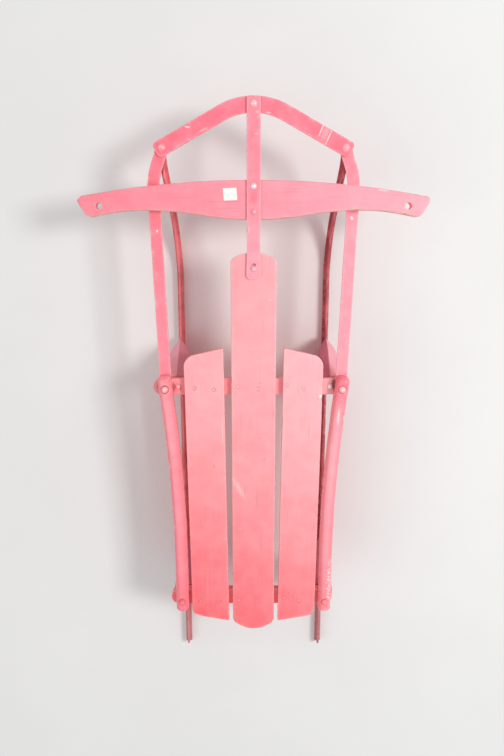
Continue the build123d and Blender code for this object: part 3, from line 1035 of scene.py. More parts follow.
@dataclass(frozen=True)
class Paint(Finish):
    """Old red paint: paler towards the front and the right, rubbed through at the edges to what lies below.

    The fading is a smooth rise from one place along the sled to another, plus a slope across it.
    """

    deep: Colour = (0.97, 0.118, 0.145)
    pale: Colour = (0.98, 0.550, 0.580)
    rubbed: Colour = (0.97, 0.70, 0.68)
    bare: Colour = (0.66, 0.44, 0.29)
    dirt: Colour = (0.36, 0.11, 0.10)
    grime: Colour = (0.34, 0.06, 0.08)
    fades: Pair = (-0.02, 0.67)
    fade_places: Pair = (-0.60, 0.10)
    fade_across: float = 0.9
    grain: Grain = Grain.ALONG
    grain_depth: float = 0.0003
    grain_lines: float = 0.14
    roughness: float = 0.42
    seed: float = 0.0
    rub_and_sheen: float = 0.55
    chipping: float = 1.0
    mottle: float = 0.045
    marks: tuple[Mark, ...] = ()

    def dress(self, kit: NodeKit) -> None:
        """Adds paler paint, held back where sheltered and by painted shade; blotches; grain or brush lines;
        rubbed edges, and rubbed crowns that are also a painted highlight; chips; dirt; painted shade in
        recesses; marks and bump.

        Args:
            kit: the material's nodes.
        """
        seed = self.seed
        even = kit.mapping("POINT", Location=(seed, seed * 0.7, 0.0))
        drawn = kit.mapping("POINT", Location=(seed, 0.3 * seed, 0.0), Scale=self.grain.value)
        streak = kit.noise(drawn, 420.0, 4.0, 0.6)
        speck = kit.noise(even, 230.0, 4.0, 0.65)
        worn = kit.attribute("wear")
        fading = kit.plus(
            kit.mapped(kit.y, *self.fade_places, *self.fades),
            kit.times(kit.x, self.fade_across),
            kit.patches(even, (9.0, 2.0), 0.25, 0.75, -0.05, 0.05),
            kit.patches(even, (45.0,), 0.3, 0.7, -self.mottle, self.mottle),
        )
        # Sheltered sides and undersides, and painted shade on the knees' inner halves and the rails' flanks,
        # keep the deep paint.
        open_and_lit = kit.math("SUBTRACT", 1.0, kit.attribute("shelter"))
        loose = kit.plus(kit.times(worn, 0.5 * self.chipping), kit.noise(even, 95.0, 4.0, 0.7))
        chipped = kit.mapped(loose, 1.0, 1.06)
        colour = self.deep
        for share, tone in (
            (kit.math("MULTIPLY", fading, open_and_lit, held=True), self.pale),
            (kit.times(kit.mapped(streak, 0.58, 0.72), self.grain_lines), self.dirt),
            (kit.times(kit.patches(drawn, (160.0,), 0.55, 0.8), 0.10), self.rubbed),
            (kit.times(worn, kit.mapped(speck, 0.35, 0.65, 0.25, 1.0), self.rub_and_sheen), self.rubbed),
            (chipped, self.bare),
            (kit.times(kit.patches(even, (130.0, 2.0, 0.4), 0.755, 0.80), 0.5), self.dirt),
            # Painted shade in the recesses round sunk heads.
            (kit.times(kit.attribute("grime"), kit.mapped(speck, 0.3, 0.6, 0.55, 1.0)), self.grime),
        ):
            colour = kit.blend(share, colour, tone)
        for mark in self.marks:
            colour = mark.over(kit, colour)
        rough = kit.patches(even, (60.0, 4.0), 0.3, 0.7, self.roughness - 0.08, self.roughness + 0.1)
        strokes = kit.bump(kit.noise(even, 350.0), 0.0002, 0.5, kit.bump(streak, self.grain_depth))
        broken = kit.bump(kit.math("SUBTRACT", 1.0, chipped), 0.0003, 0.8, strokes)
        kit.surface(colour, kit.plus(rough, kit.times(chipped, 0.25)), broken)


@dataclass(frozen=True)
class SteelPaint(Paint):
    """The bluer pink paint of the flat steel pieces."""

    deep: Colour = (0.97, 0.130, 0.193)
    pale: Colour = (0.98, 0.500, 0.580)
    bare: Colour = (0.34, 0.15, 0.10)
    fades: Pair = (0.42, 0.30)
    fade_places: Pair = (0.10, 0.52)
    fade_across: float = 0.8
    grain: Grain = Grain.NONE
    grain_depth: float = 0.0001
    grain_lines: float = 0.03
    roughness: float = 0.36
    chipping: float = 0.85


@dataclass(frozen=True)
class KneePaint(Paint):
    """The darker, duller paint of the knees; its deep tone, kept on their inner halves, is painted shade."""

    deep: Colour = (0.54, 0.105, 0.165)
    pale: Colour = (0.99, 0.460, 0.520)
    bare: Colour = (0.28, 0.12, 0.08)
    dirt: Colour = (0.22, 0.09, 0.08)
    fades: Pair = (0.45, 0.80)
    fade_across: float = 0.6
    grain_depth: float = 0.0001
    grain_lines: float = 0.05
    roughness: float = 0.5


@dataclass(frozen=True)
class HeadPaint(Paint):
    """The smooth paint on the heads of screws, rivets and rail bolts; their pale rubbed crowns are also a
    painted highlight.
    """

    grain_lines: float = 0.0
    chipping: float = 0.0


@dataclass(frozen=True)
class Metal(Finish):
    """Bare zinc-plated steel that goes to rust where a noise is high."""

    clean: Colour = (0.92, 0.86, 0.90)
    rust: Colour = (0.42, 0.16, 0.14)
    rusting: float = 0.24
    roughness: float = 0.24
    metallic: float = 0.45

    def dress(self, kit: NodeKit) -> None:
        """Adds the steel and its rust.

        Args:
            kit: the material's nodes.
        """
        cover = kit.patches(kit.place, (260.0, 5.0, 0.65), 0.85 - self.rusting, 1.0 - self.rusting)
        kit.surface(
            kit.blend(cover, self.clean, self.rust),
            kit.mapped(cover, 0.0, 1.0, self.roughness, 0.85),
            kit.bump(kit.noise(kit.place, 600.0, 4.0), 0.0002, 0.5),
            kit.mapped(cover, 0.0, 1.0, self.metallic, 0.1),
        )


@dataclass(frozen=True)
class RunnerPaint(Finish):
    """Red paint over steel that is rubbed off and rusty low down and towards the heel; the right runner is
    darker as painted shade.
    """

    paint: Colour = (0.43, 0.065, 0.085)
    faded_and_lit: Colour = (0.88, 0.22, 0.24)
    rust: Colour = (0.58, 0.240, 0.250)
    steel: Colour = (0.56, 0.46, 0.44)

    def dress(self, kit: NodeKit) -> None:
        """Adds paint, rust that grows towards the heel and the floor, and bare steel below.

        Args:
            kit: the material's nodes.
        """
        tone = kit.patches(kit.place, (30.0, 4.0), 0.3, 0.7)
        # Painted shade: the right runner's tone goes towards the deep paint, the left one's towards the
        # paler red.
        tone = kit.math("ADD", tone, kit.times(kit.x, -3.0), held=True)
        heel = kit.mapped(kit.y, -0.53, -0.30, 0.17, 0.0)
        low = kit.mapped(kit.z, 0.0, 0.012, 0.10, 0.0)
        rusted = kit.mapped(kit.plus(kit.noise(kit.place, 120.0, 5.0, 0.7), heel, low), 0.56, 0.70)
        lines = kit.noise(kit.mapping("POINT", Scale=(1.0, 0.08, 1.0)), 300.0)
        scraped = kit.mapped(kit.plus(lines, kit.mapped(kit.z, 0.0, 0.004, 0.22, -0.2)), 0.62, 0.70)
        colour = kit.blend(rusted, kit.blend(tone, self.paint, self.faded_and_lit), self.rust)
        kit.surface(
            kit.blend(scraped, colour, self.steel),
            kit.mapped(rusted, 0.0, 1.0, 0.45, 0.85),
            kit.bump(kit.noise(kit.place, 420.0, 5.0, 0.7), 0.0004, 0.7),
            kit.times(scraped, 0.8),
        )


@dataclass(frozen=True)
class Paper(Finish):
    """Weathered blank near-white paper with a thin, faint green band across it and slight stains."""

    sheet: Colour = (0.95, 0.97, 0.90)
    band: Colour = (0.55, 0.86, 0.66)
    stain: Colour = (0.85, 0.80, 0.72)
    band_y: float = 0.3806
    band_half: float = 0.0009

    def dress(self, kit: NodeKit) -> None:
        """Adds the paper, its band and its stains.

        Args:
            kit: the material's nodes.
        """
        away = kit.math("ABSOLUTE", kit.plus(kit.y, -self.band_y))
        band = kit.mapped(away, self.band_half * 0.5, self.band_half, 0.55, 0.0)
        stained = kit.patches(kit.place, (300.0,), 0.5, 0.8, 0.0, 0.2)
        colour = kit.blend(stained, kit.blend(band, self.sheet, self.band), self.stain)
        kit.surface(colour, 0.7, kit.bump(kit.noise(kit.place, 900.0), 0.0001, 0.6))


@dataclass
class Deck:
    """The three deck boards, the two benches under them and the screws that hold them."""

    arches: Pair = (0.016, 0.011)
    centre_corner: float = 0.006
    side_width: float = 0.068
    side_x: float = 0.082
    side_y: float = -0.130
    splay: float = 0.7
    side_ends: Pair = (0.2545, 0.261)
    slants: Pair = (11.4, 12.5)
    outer_corners: Pair = (0.012, 0.016)
    inner_corner: float = 0.003
    screw_radius: float = 0.0029
    screw_pit: float = 0.0008
    screws: tuple[Pair, ...] = (
        (-0.1013, 0.0618), (-0.0687, 0.0592), (-0.0267, 0.0644), (0.0074, 0.0609), (0.0562, 0.0671),
        (0.0847, 0.0609), (-0.0975, -0.3438), (-0.0643, -0.3444), (-0.0269, -0.3417), (0.0080, -0.3444),
        (0.0570, -0.3376), (0.0843, -0.3430),
    )
    end_rivets: Pair = (-0.131, 0.132)
    rivet_radius: float = 0.0044
    rivet_pit: float = 0.0004
    bench_rims: Pair = (0.0012, 0.004)

    SCREW = dict(head_height=0.0006, skirt=0.0003, shank_radius=0.0018, shank_length=0.013, nut_height=0.0)
    RIVET = dict(head_height=0.0027, skirt=0.0005, shank_radius=0.0024, shank_length=0.017, nut_height=0.0)

    def build(self) -> None:
        """Builds and dresses every board, bench and screw."""
        self.centre()
        for side in Side:
            self.side_board(side)
        for node, seed in (("front_bench", 31), ("rear_bench", 37)):
            self.bench(node, seed)
        self.fasteners()

    def board(
        self, name: str, ends: Sequence[np.ndarray], half: float, shapes: Sequence[Profile],
        rounds: Sequence[Pair], seed: int, paint: Paint, **changes: float,
    ) -> None:
        """Builds a board with its screw recesses and nicks.

        Args:
            name: the board's node.
            ends: the middles of its rear and front end.
            half: half its width.
            shapes: the shapes of both ends.
            rounds: the corner rounds of both ends.
            seed: the seed of its nicks and waves.
            paint: its finish.
            changes: other changes to the slab.
        """
        low, high = corners(name)
        way = unit(ends[1] - ends[0])
        apart = np.array([(x - ends[0][0], y - ends[0][1], 0.0) for x, y in self.screws])
        along, across = apart @ way, apart @ np.cross(way, UP)
        near = np.abs(across) < half
        size = (self.screw_radius * 1.12, self.screw_pit)
        board = Slab(
            Route(ends), even_sides(half), high[2] - low[2], start_corners=rounds[0], end_corners=rounds[1],
            start_shape=shapes[0], end_shape=shapes[1], seed=seed, nicks=9, nick_depth=0.0005,
            pits=tuple(Spot(a, b, *size) for a, b in zip(along[near], across[near])), **changes,
        )
        board.skin().place(f"{name}_plank", "root", "deck_wood", paint, name)

    def centre(self) -> None:
        """Builds the centre board, arched at both ends."""
        low, high = corners("centre_board")
        level = middle("centre_board")[2]
        marks = (
            Mark(-0.0266, -0.119, 0.036, 0.0062, turn=-61.0, strength=0.42, softness=0.9),
            Mark(-0.0243, -0.1985, 0.0022, 0.0018, strength=0.4),
            Mark(0.0274, 0.2127, 0.004, 0.0015, turn=20.0, strength=0.4),
        )
        self.board(
            "centre_board", [np.array([0.0, y, level]) for y in (low[1], high[1])], (high[0] - low[0]) / 2,
            [lambda across, arch=arch: arch * across**2 for arch in self.arches],
            [(self.centre_corner, self.centre_corner)] * 2, 3,
            Paint(seed=1.7, grain_lines=0.25, marks=marks), unevenness=0.00007,
        )

    def side_board(self, side: Side) -> None:
        """Builds a side board: slanted ends, splayed a little towards the front.

        Args:
            side: which side of the sled.
        """
        name = f"{side.word}_board"
        lean = math.radians(self.splay) * side.value
        way = np.array([math.sin(lean), math.cos(lean), 0.0])
        centre = np.array([self.side_x * side.value, self.side_y, middle(name)[2]])
        drops = [self.side_width * math.tan(math.radians(slant)) for slant in self.slants]
        marks = side.pick(
            (
                Mark(-0.0540, -0.015, 0.0015, 0.030, strength=0.45),
                Mark(-0.0695, -0.0785, 0.0012, 0.004, strength=0.4, tone=Tone.DARK),
                Mark(-0.105, -0.372, 0.012, 0.003, turn=-12.0),
            ),
            (
                Mark(0.1147, 0.0477, 0.0026, 0.0042, strength=0.95, tone=Tone.WHITE),
                Mark(0.1162, 0.0440, 0.0014, 0.0030, strength=0.9, tone=Tone.WOOD),
                Mark(0.075, -0.383, 0.020, 0.002, turn=10.0, strength=0.5),
            ),
        )
        fades = side.pick((-0.06, 0.76), (-0.04, 0.73))
        lines = side.pick(0.17, 0.27)
        self.board(
            name, [centre - way * self.side_ends[0], centre + way * self.side_ends[1]], self.side_width / 2,
            [lambda across, drop=drop: drop * (1 + side.value * across) / 2 for drop in drops],
            [side.pair(self.inner_corner, outer) for outer in self.outer_corners], 11 + side.value,
            Paint(seed=3.1 + side.value, fades=fades, grain_lines=lines, marks=marks),
        )

    def bench(self, node: str, seed: int) -> None:
        """Builds a bench: a round-ended bar across the sled.

        Args:
            node: the bench's node.
            seed: the seed of its nicks, waves and paint.
        """
        low, high = corners(node)
        half, centre = (high[1] - low[1]) / 2, middle(node)
        rivets = self.end_rivets if node == "front_bench" else ()
        bench = Slab(
            Route([(low[0], *centre[1:]), (high[0], *centre[1:])]), even_sides(half), high[2] - low[2],
            self.bench_rims, (half, half), (half, half), seed=seed, nicks=8,
            pits=tuple(Spot(x - low[0], 0.0, self.rivet_radius * 1.1, self.rivet_pit) for x in rivets),
        )
        # Painted shadows: of the left rail on the bench end beyond it, of the left rail and board round the
        # left rivet, and of the right rail beside the right rivet.
        marks = (
            Mark(-0.1640, 0.0640, 0.0030, 0.0090, tone=Tone.DARK),
            Mark(-0.1375, 0.0620, 0.0028, 0.0095, strength=0.7, tone=Tone.DARK),
            Mark(-0.1262, 0.0600, 0.0022, 0.0080, strength=0.5, tone=Tone.DARK),
            Mark(0.1388, 0.0665, 0.0044, 0.0140, strength=0.95, softness=0.35, tone=Tone.DARK),
        )
        paint = Paint(seed=float(seed), grain=Grain.ACROSS, fades=(0.18, 0.66), fade_across=1.2, marks=marks)
        bench.skin().place(f"{node}_bar", "root", "deck_wood", paint, node)

    def fasteners(self) -> None:
        """Builds the deck screws, painted over, and the rivets at the ends of the front bench."""
        level = corners("centre_board")[1][2] - self.screw_pit
        feet = np.array([(x, y, level) for x, y in self.screws])
        screws = [Fastener(foot, self.screw_radius, **self.SCREW) for foot in feet]
        place_fasteners("deck_screws", screws, HeadPaint(seed=8.0, rub_and_sheen=0.25, roughness=0.30))
        y, level = middle("front_bench")[1], corners("front_bench")[1][2]
        feet = np.array([(x, y, level) for x in self.end_rivets])
        rivets = [Fastener(foot, self.rivet_radius, **self.RIVET) for foot in feet]
        flash = Mark(0.1320, 0.0630, 0.0052, 0.0052, strength=0.8, softness=0.9, tone=Tone.WHITE)
        pale = HeadPaint(
            pale=(0.99, 0.90, 0.89), rubbed=(0.99, 0.95, 0.94), fade_across=2.4, rub_and_sheen=0.4, roughness=0.2,
            seed=9.0, marks=(flash,),
        )
        place_fasteners("bench_rivets", rivets, pale)


@dataclass
class Rails:
    """The two bent side rails and the four bolts through them."""

    width: float = 0.023
    height: float = 0.0195
    bend_radius: float = 2.7
    straight_lead: float = 0.0785
    rims: Pair = (0.0098, 0.0025)
    rear_round: float = 0.009
    front_rounds: Pair = (0.0065, 0.0095)
    recess: float = 0.0012
    recess_room: float = 0.0009
    # How dark the recesses round the rear and the front bolts are painted: painted shade.
    pit_shade: Pair = (0.4, 1.0)
    head_radius: float = 0.0058
    line_points: int = 260

    def build(self) -> None:
        """Builds both rails and their bolts."""
        for side in Side:
            self.rail(side)
            for bench in ("front", "rear"):
                self.bolt(side, bench)

    def route(self, side: Side) -> Route:
        """Lays the rail's line: straight at the rear, then an outward arc, on a slight rise.

        Args:
            side: which side of the sled.

        Returns:
            The line.
        """
        low, high = corners(f"{side.word}_rail")
        rear_x = side.pick(-high[0], low[0]) + self.width / 2
        bend_start = middle("rear_bench")[1] + self.straight_lead
        tilt = ((high[2] - low[2]) - self.height) / (high[1] - low[1])
        y = np.linspace(low[1], high[1], self.line_points)
        x = rear_x + self.bend_radius - np.sqrt(self.bend_radius**2 - np.maximum(0.0, y - bend_start) ** 2)
        return Route(np.stack([side.value * x, y, low[2] + self.height / 2 + (y - low[1]) * tilt], -1))

    def rail(self, side: Side) -> None:
        """Builds one rail with the recesses round its bolts.

        Args:
            side: which side of the sled.
        """
        name = f"{side.word}_rail"
        route = self.route(side)
        bolts = [middle(f"{side.word}_{bench}_rail_bolt")[1] for bench in ("rear", "front")]
        places = np.interp(bolts, route.points[:, 1], route.places)
        size, front = self.head_radius + self.recess_room, side.pick(*self.front_rounds)
        pits = [Spot(at, 0.0, size, self.recess, dirt=dirt) for at, dirt in zip(places, self.pit_shade)]
        # The flanks of the round top keep the deep paint: sheltered from fading, and painted shade.
        rail = Slab(
            route, even_sides(self.width / 2), self.height, self.rims, (self.rear_round, self.rear_round),
            (front, front), step=0.0035, seed=21 + side.value, unevenness=0.0003, nicks=8, nick_depth=0.0005,
            pits=tuple(pits), shelter=0.85,
        )
        marks = side.pick(
            (
                Mark(-0.1582, 0.010, 0.0015, 0.006),
                Mark(-0.1465, -0.079, 0.0015, 0.010, turn=-6.0, strength=0.5),
            ),
            (
                # A painted highlight: a white streak along the right rail's crown.
                Mark(0.1452, 0.016, 0.0022, 0.018, turn=-3.0, strength=0.75, tone=Tone.WHITE),
                Mark(0.1345, -0.3620, 0.0120, 0.0110, strength=0.55, softness=0.8),
                Mark(0.1375, -0.305, 0.0050, 0.056, strength=0.9, tone=Tone.WHITE, specks=True),
                Mark(0.1490, 0.090, 0.0200, 0.100, strength=0.65, softness=0.9, tone=Tone.RED),
            ),
        )
        paint = Paint(
            deep=(0.99, 0.120, 0.170), pale=(0.99, 0.510, 0.560), seed=5.0 + side.value,
            fades=side.pick((0.19, 0.61), (0.16, 0.70)), fade_places=(-0.60, 0.0), fade_across=0.4,
            grain_lines=0.08, roughness=0.24, marks=marks,
        )
        rail.skin().place(f"{name}_wood", "root", "rail_wood", paint, name)

    def bolt(self, side: Side, bench: str) -> None:
        """Builds one rail bolt with its nut, seated in the rail's recess.

        Args:
            side: which side of the sled.
            bench: the bench beside it, front or rear.
        """
        node = f"{side.word}_{bench}_rail_bolt"
        bolt = Fastener.standing_in(node, self.head_radius, skirt=self.recess + self.recess_room)
        x, y, _ = bolt.foot
        # The front bolts get a pale crown and a white spot at its middle, a painted highlight; the rear ones
        # get less.
        rub_and_sheen = 0.75 if bench == "front" else 0.15
        white_fleck = Mark(x, y, 0.0030, 0.0024, strength=rub_and_sheen, softness=0.9, tone=Tone.WHITE)
        paint = HeadPaint(seed=y * 9, rub_and_sheen=rub_and_sheen, roughness=0.16, fades=(-0.02, 0.5), marks=(white_fleck,))
        bolt.skin().place(f"{node}_head", "root", "fastener_steel", paint, node)


@dataclass
class Steering:
    """The strap, the handle, their bolts and the blank label."""

    strap_half: float = 0.011
    strap_end_half: float = 0.0125
    strap_flare: float = 0.040
    strap_bend: float = 0.014
    strap_corner: float = 0.008
    strap_front_corner: float = 0.0012
    seat_margin: float = 0.0025
    slot_radius: float = 0.0037
    slot_lead: float = 0.0023
    slot_half: float = 0.0025
    bumper_width: float = 0.025
    line_inset: float = 0.036
    handle_bow: float = 1.530
    handle_rim: float = 0.003
    handle_corners: Pair = (0.010, 0.009)
    waist_x: float = 0.172
    waist_rise: float = 0.0147
    shoulder_x: float = 0.267
    shoulder_drop: float = 0.0126
    end_point: float = 0.0024
    end_slant: float = 0.018
    hole_inset: float = 0.0355
    hole_setback: float = 0.0401
    hole_radius: float = 0.0053
    label_x: Pair = (-0.0480, -0.0265)
    label_y: Pair = (0.3712, 0.3898)
    label_lean: float = 0.0014
    label_turn: float = 2.5
    label_curl: float = 0.0010
    label_curl_from: float = 1.55
    label_lift: float = 0.00035
    label_grid: tuple[int, int] = (22, 20)
    paper: float = 0.00025

    def build(self) -> None:
        """Builds and dresses the steering pieces."""
        self.strap()
        self.handle()
        self.bolts()
        self.label()

    def strap(self) -> None:
        """Builds the strap: flat on the centre board, up over the handle, down to the bumper."""
        low, high = corners("steering_strap")
        handle_low, handle_high = corners("steering_handle")
        board, bumper = corners("centre_board")[1], corners("bumper")[1]
        margin, bumper_rear = self.seat_margin, bumper[1] - self.bumper_width
        seats = (
            (low[1], board[1] + margin, board[2] + GAP),
            (handle_low[1] - margin, handle_high[1] + margin, handle_high[2]),
            (bumper_rear - margin, high[1], bumper[2] + GAP),
        )
        points = [(0, y, level + STEEL / 2) for *ends, level in seats for y in ends]

        def half(along: np.ndarray) -> np.ndarray:
            """Returns half the strap's width at lengths along it."""
            return np.interp(along, [0.0, self.strap_flare], [self.strap_end_half, self.strap_half])

        slot_at = middle("deck_bolt")[1] - low[1] + self.slot_lead
        strap = steel_bar(
            Route(points, (self.strap_bend,) * 4), (lambda along: -half(along), half), 41, 8,
            self.strap_corner, end_corners=(self.strap_front_corner,) * 2, unevenness=0.00003,
            holes=(Spot(slot_at, 0.0, self.slot_radius, half_slot=self.slot_half),),
        )
        marks = (
            Mark(0.0, 0.3735, 0.010, 0.016, strength=0.5, softness=0.9, tone=Tone.RED),
            Mark(0.006, 0.505, 0.003, 0.002, strength=0.5),
            Mark(0.004, 0.4715, 0.0045, 0.0006, strength=0.7, tone=Tone.WHITE),
        )
        paint = SteelPaint(seed=2.3, fades=(0.68, 0.42), fade_places=(0.27, 0.40), mottle=0.08, marks=marks)
        strap.skin().place("strap_bar", "steering", "strap_steel", paint, "steering_strap")

    def outline(self, x: np.ndarray) -> tuple[np.ndarray, np.ndarray]:
        """Works out the handle's edges: a flat bow in front, a belly and waists behind.

        Each is made of arcs: an arc of chord c and rise r has the radius (c squared + r squared) / 2r.

        Args:
            x: places across the sled.

        Returns:
            Y of the rear and of the front edge.
        """
        low, high = corners("steering_handle")
        reach = np.abs(x)
        front = high[1] - self.handle_bow + np.sqrt(self.handle_bow**2 - reach**2)
        rise, chord = self.waist_rise / 2, self.waist_x / 2
        radius = (chord**2 + rise**2) / (2 * rise)
        belly = radius - np.sqrt(radius**2 - np.minimum(reach, chord) ** 2)
        to_waist = np.clip(self.waist_x - reach, 0.0, chord)
        waist = self.waist_rise - radius + np.sqrt(radius**2 - to_waist**2)
        shoulder_chord = self.shoulder_x - self.waist_x
        turn = (shoulder_chord**2 + self.shoulder_drop**2) / (2 * self.shoulder_drop)
        shoulder = np.sqrt(turn**2 - np.maximum(reach - self.waist_x, 0.0) ** 2) - turn
        return low[1] + np.where(reach < chord, belly, waist) + shoulder, front

    def handle(self) -> None:
        """Builds the handle: a bowed bar with a belly, slanted ends and a rope hole at each end."""
        low, high = corners("steering_handle")
        level, line = middle("steering_handle")[2], high[1] - self.line_inset
        start_x, end_x = low[0] - self.end_point, high[0] + self.end_point
        hole_x = (high[0] - low[0]) / 2 - self.hole_inset
        across = line - (high[1] - self.hole_setback)
        slant = [lambda share: self.end_slant * (share + 1) / 2] * 2
        handle = Slab(
            Route([(start_x, line, level), (end_x, line, level)]),
            tuple(lambda along, edge=edge: line - self.outline(along + start_x)[edge] for edge in (1, 0)),
            high[2] - low[2], (self.handle_rim,) * 2, *((corner,) * 2 for corner in self.handle_corners),
            *slant, seed=51, nicks=12, nick_depth=0.0006, side_wear=(0.4, 1.3),
            holes=tuple(Spot(x - start_x, across, self.hole_radius) for x in (-hole_x, hole_x)),
        )
        marks = (
            Mark(-0.2440, 0.3475, 0.006, 0.0016, turn=12.0, strength=0.95, tone=Tone.WHITE),
            Mark(-0.2200, 0.3500, 0.004, 0.0014, strength=0.8, tone=Tone.WHITE),
            Mark(-0.2768, 0.3755, 0.005, 0.0012, turn=50.0, strength=0.8, tone=Tone.WHITE),
            Mark(0.2040, 0.3865, 0.010, 0.0014, turn=-8.0, strength=0.8),
            Mark(0.1000, 0.3440, 0.060, 0.0012, turn=6.0, strength=0.7),
            Mark(-0.1200, 0.3480, 0.060, 0.0011, turn=-4.0, strength=0.5),
        )
        paint = Paint(
            deep=(0.98, 0.150, 0.205), pale=(0.98, 0.520, 0.610), rubbed=(0.93, 0.62, 0.48), rub_and_sheen=0.85,
            grain=Grain.ACROSS, seed=6.2, fades=(0.44, 0.44), fade_across=0.62, grain_lines=0.26,
            roughness=0.40, marks=marks,
        )
        handle.skin().place("handle_bar", "steering", "handle_wood", paint, "steering_handle")

    def bolts(self) -> None:
        """Builds the four bolts in the middle of the sled; the front one of the handle is bare."""
        small = dict(shank_radius=0.0026, nut_radius=0.0040)
        painted = dict(roughness=0.18, chipping=0.0, fades=(0.6, 0.4))
        # Chipped paint and a painted highlight: the heads rubbed near-white at the crown.
        chipped = dict(rubbed=(0.98, 0.86, 0.85), rub_and_sheen=1.0, **painted)
        flakes = Mark(0.0, middle("deck_bolt")[1], 0.006, 0.006, tone=Tone.DARK, specks=True)
        for node, body, radius, changes, finish in (
            ("deck_bolt", "root", 0.0054, {}, SteelPaint(seed=4.7, marks=(flakes,), **chipped)),
            ("apex_bolt", "steering", 0.0062, {}, SteelPaint(seed=5.6, **chipped)),
            ("front_handle_bolt", "steering", 0.0048, small, Metal()),
            ("rear_handle_bolt", "steering", 0.0048, small, SteelPaint(seed=4.4, rub_and_sheen=0.3, **painted)),
        ):
            bolt = Fastener.standing_in(node, radius, **changes).skin()
            bolt.place(f"{node}_head", body, "fastener_steel", finish, node)

    def label(self) -> None:
        """Builds the blank paper label that is stuck on the handle, with one corner a little raised."""
        (west, east), (south, north) = self.label_x, self.label_y
        top = corners("steering_handle")[1][2]
        u, v = np.meshgrid(*(np.linspace(0, 1, count) for count in self.label_grid))
        curled = eased((u + v - self.label_curl_from) / (2.0 - self.label_curl_from))
        lift = self.label_lift + self.label_curl * curled
        skew = math.tan(math.radians(self.label_turn)) * (u - 0.5) * (east - west)
        x = west + u * (east - west) + self.label_lean * (0.5 - v)
        upper = np.stack([x, south + v * (north - south) + skew, top + lift], -1)
        lower = upper - [0.0, 0.0, self.paper]
        edge = np.concatenate([outline_of(upper), outline_of(lower)])
        draft = Skin().add(upper).add(lower).add(edge, closed=True)
        draft.place("blank_label", "steering", "handle_wood", Paper())


@dataclass
class Bow:
    """The bumper bow, the two side bars and the rivets at the runner tips."""

    width: float = 0.025
    bow_radius: float = 0.106
    arm_angle: float = 28.5
    tip_reach: float = 0.011
    corner: float = 0.007
    bar_width: float = 0.0195
    bar_knee_x: float = 0.162
    bar_knee_setback: float = 0.047
    bar_bend: float = 0.110
    rivet_radius: float = 0.0066
    rivet_tail_radius: float = 0.005
    rivet_tail: float = 0.0025

    def build(self) -> None:
        """Builds the bumper, both side bars and both rivets."""
        self.bumper()
        for side in Side:
            self.side_bar(side)
            self.rivet(side)

    def bumper(self) -> None:
        """Builds the bumper: two straight arms joined by an arc in front."""
        front, tip = corners("bumper")[1][1], middle("right_tip_rivet")
        half, level, turn = self.width / 2, middle("bumper")[2], math.radians(self.arm_angle)
        vertex_y = front - half + self.bow_radius * (1 / math.cos(turn) - 1)
        end_x = tip[0] + self.tip_reach * math.cos(turn)
        end_y = tip[1] - self.tip_reach * math.sin(turn)
        ends = [(-end_x, end_y, level), (0, vertex_y, level), (end_x, end_y, level)]
        bumper = steel_bar(Route(ends, (self.bow_radius,)), even_sides(half), 61, 10, self.corner)
        white = dict(softness=0.6, tone=Tone.WHITE)
        marks = (
            Mark(0.1125, 0.4735, 0.0070, 0.0130, turn=-25.0, strength=0.2, **white),
            Mark(0.1065, 0.4790, 0.0014, 0.0150, turn=-25.0, strength=0.75, **white),
            Mark(0.1185, 0.4680, 0.0012, 0.0150, turn=-25.0, strength=0.8, **white),
            Mark(-0.1044, 0.4830, 0.0050, 0.0016, turn=-5.0, strength=0.85, tone=Tone.WHITE),
            Mark(-0.0800, 0.4790, 0.0110, 0.0012, turn=28.0),
            Mark(0.0227, 0.5043, 0.0050, 0.0012, turn=-10.0, strength=0.7),
        )
        paint = SteelPaint(seed=7.1, fades=(0.20, 0.20), fade_across=0.2, mottle=0.09, marks=marks)
        bumper.skin().place("bumper_bar", "bumper", "strap_steel", paint, "bumper")

    def side_bar(self, side: Side) -> None:
        """Builds a side bar: from the rail bolt to the runner's tip, with round ends.

        Args:
            side: which side of the sled.
        """
        name = f"{side.word}_side_bar"
        level, half = middle(name)[2], self.bar_width / 2
        rear, tip = (middle(f"{side.word}_{end}") for end in ("front_rail_bolt", "tip_rivet"))
        first, last = (np.array([*end[:2], level]) for end in (rear, tip))
        knee = np.array([side.value * self.bar_knee_x, tip[1] - self.bar_knee_setback, level])
        ends = [first - unit(knee - first) * half, knee, last + unit(last - knee) * half]
        bar = steel_bar(Route(ends, (self.bar_bend,)), even_sides(half), 71 + side.value, 12, half)
        white_fleck = side.pick(
            Mark(-0.1574, 0.3242, 0.0022, 0.0030, strength=0.9, tone=Tone.WHITE),
            Mark(0.1595, 0.3447, 0.0022, 0.0040, turn=25.0, strength=0.9, tone=Tone.WHITE),
        )
        paint = SteelPaint(seed=9.4 + side.value, marks=(white_fleck,), fades=(0.50, 0.33), mottle=0.07)
        bar.skin().place(f"{name}_strip", f"{side.word}_horn", "strap_steel", paint, name)

    def rivet(self, side: Side) -> None:
        """Builds the rivet through bumper, side bar and runner tip, with a head on both sides.

        Args:
            side: which side of the sled.
        """
        node = f"{side.word}_tip_rivet"
        draft = Fastener.standing_in(node, self.rivet_radius, shank_radius=0.003, nut_height=0.0).skin()
        foot = np.array([*middle(node)[:2], corners(node)[0][2] + self.rivet_tail])
        lower = Fastener(
            foot, self.rivet_tail_radius, self.rivet_tail, shank_length=0.0005, nut_height=0.0,
            axis=(0.0, 0.0, -1.0),
        )
        paint = SteelPaint(seed=3.3, rub_and_sheen=0.7, roughness=0.22, chipping=0.5)
        lower.skin(draft).place(f"{node}_head", f"{side.word}_horn", "fastener_steel", paint, node)


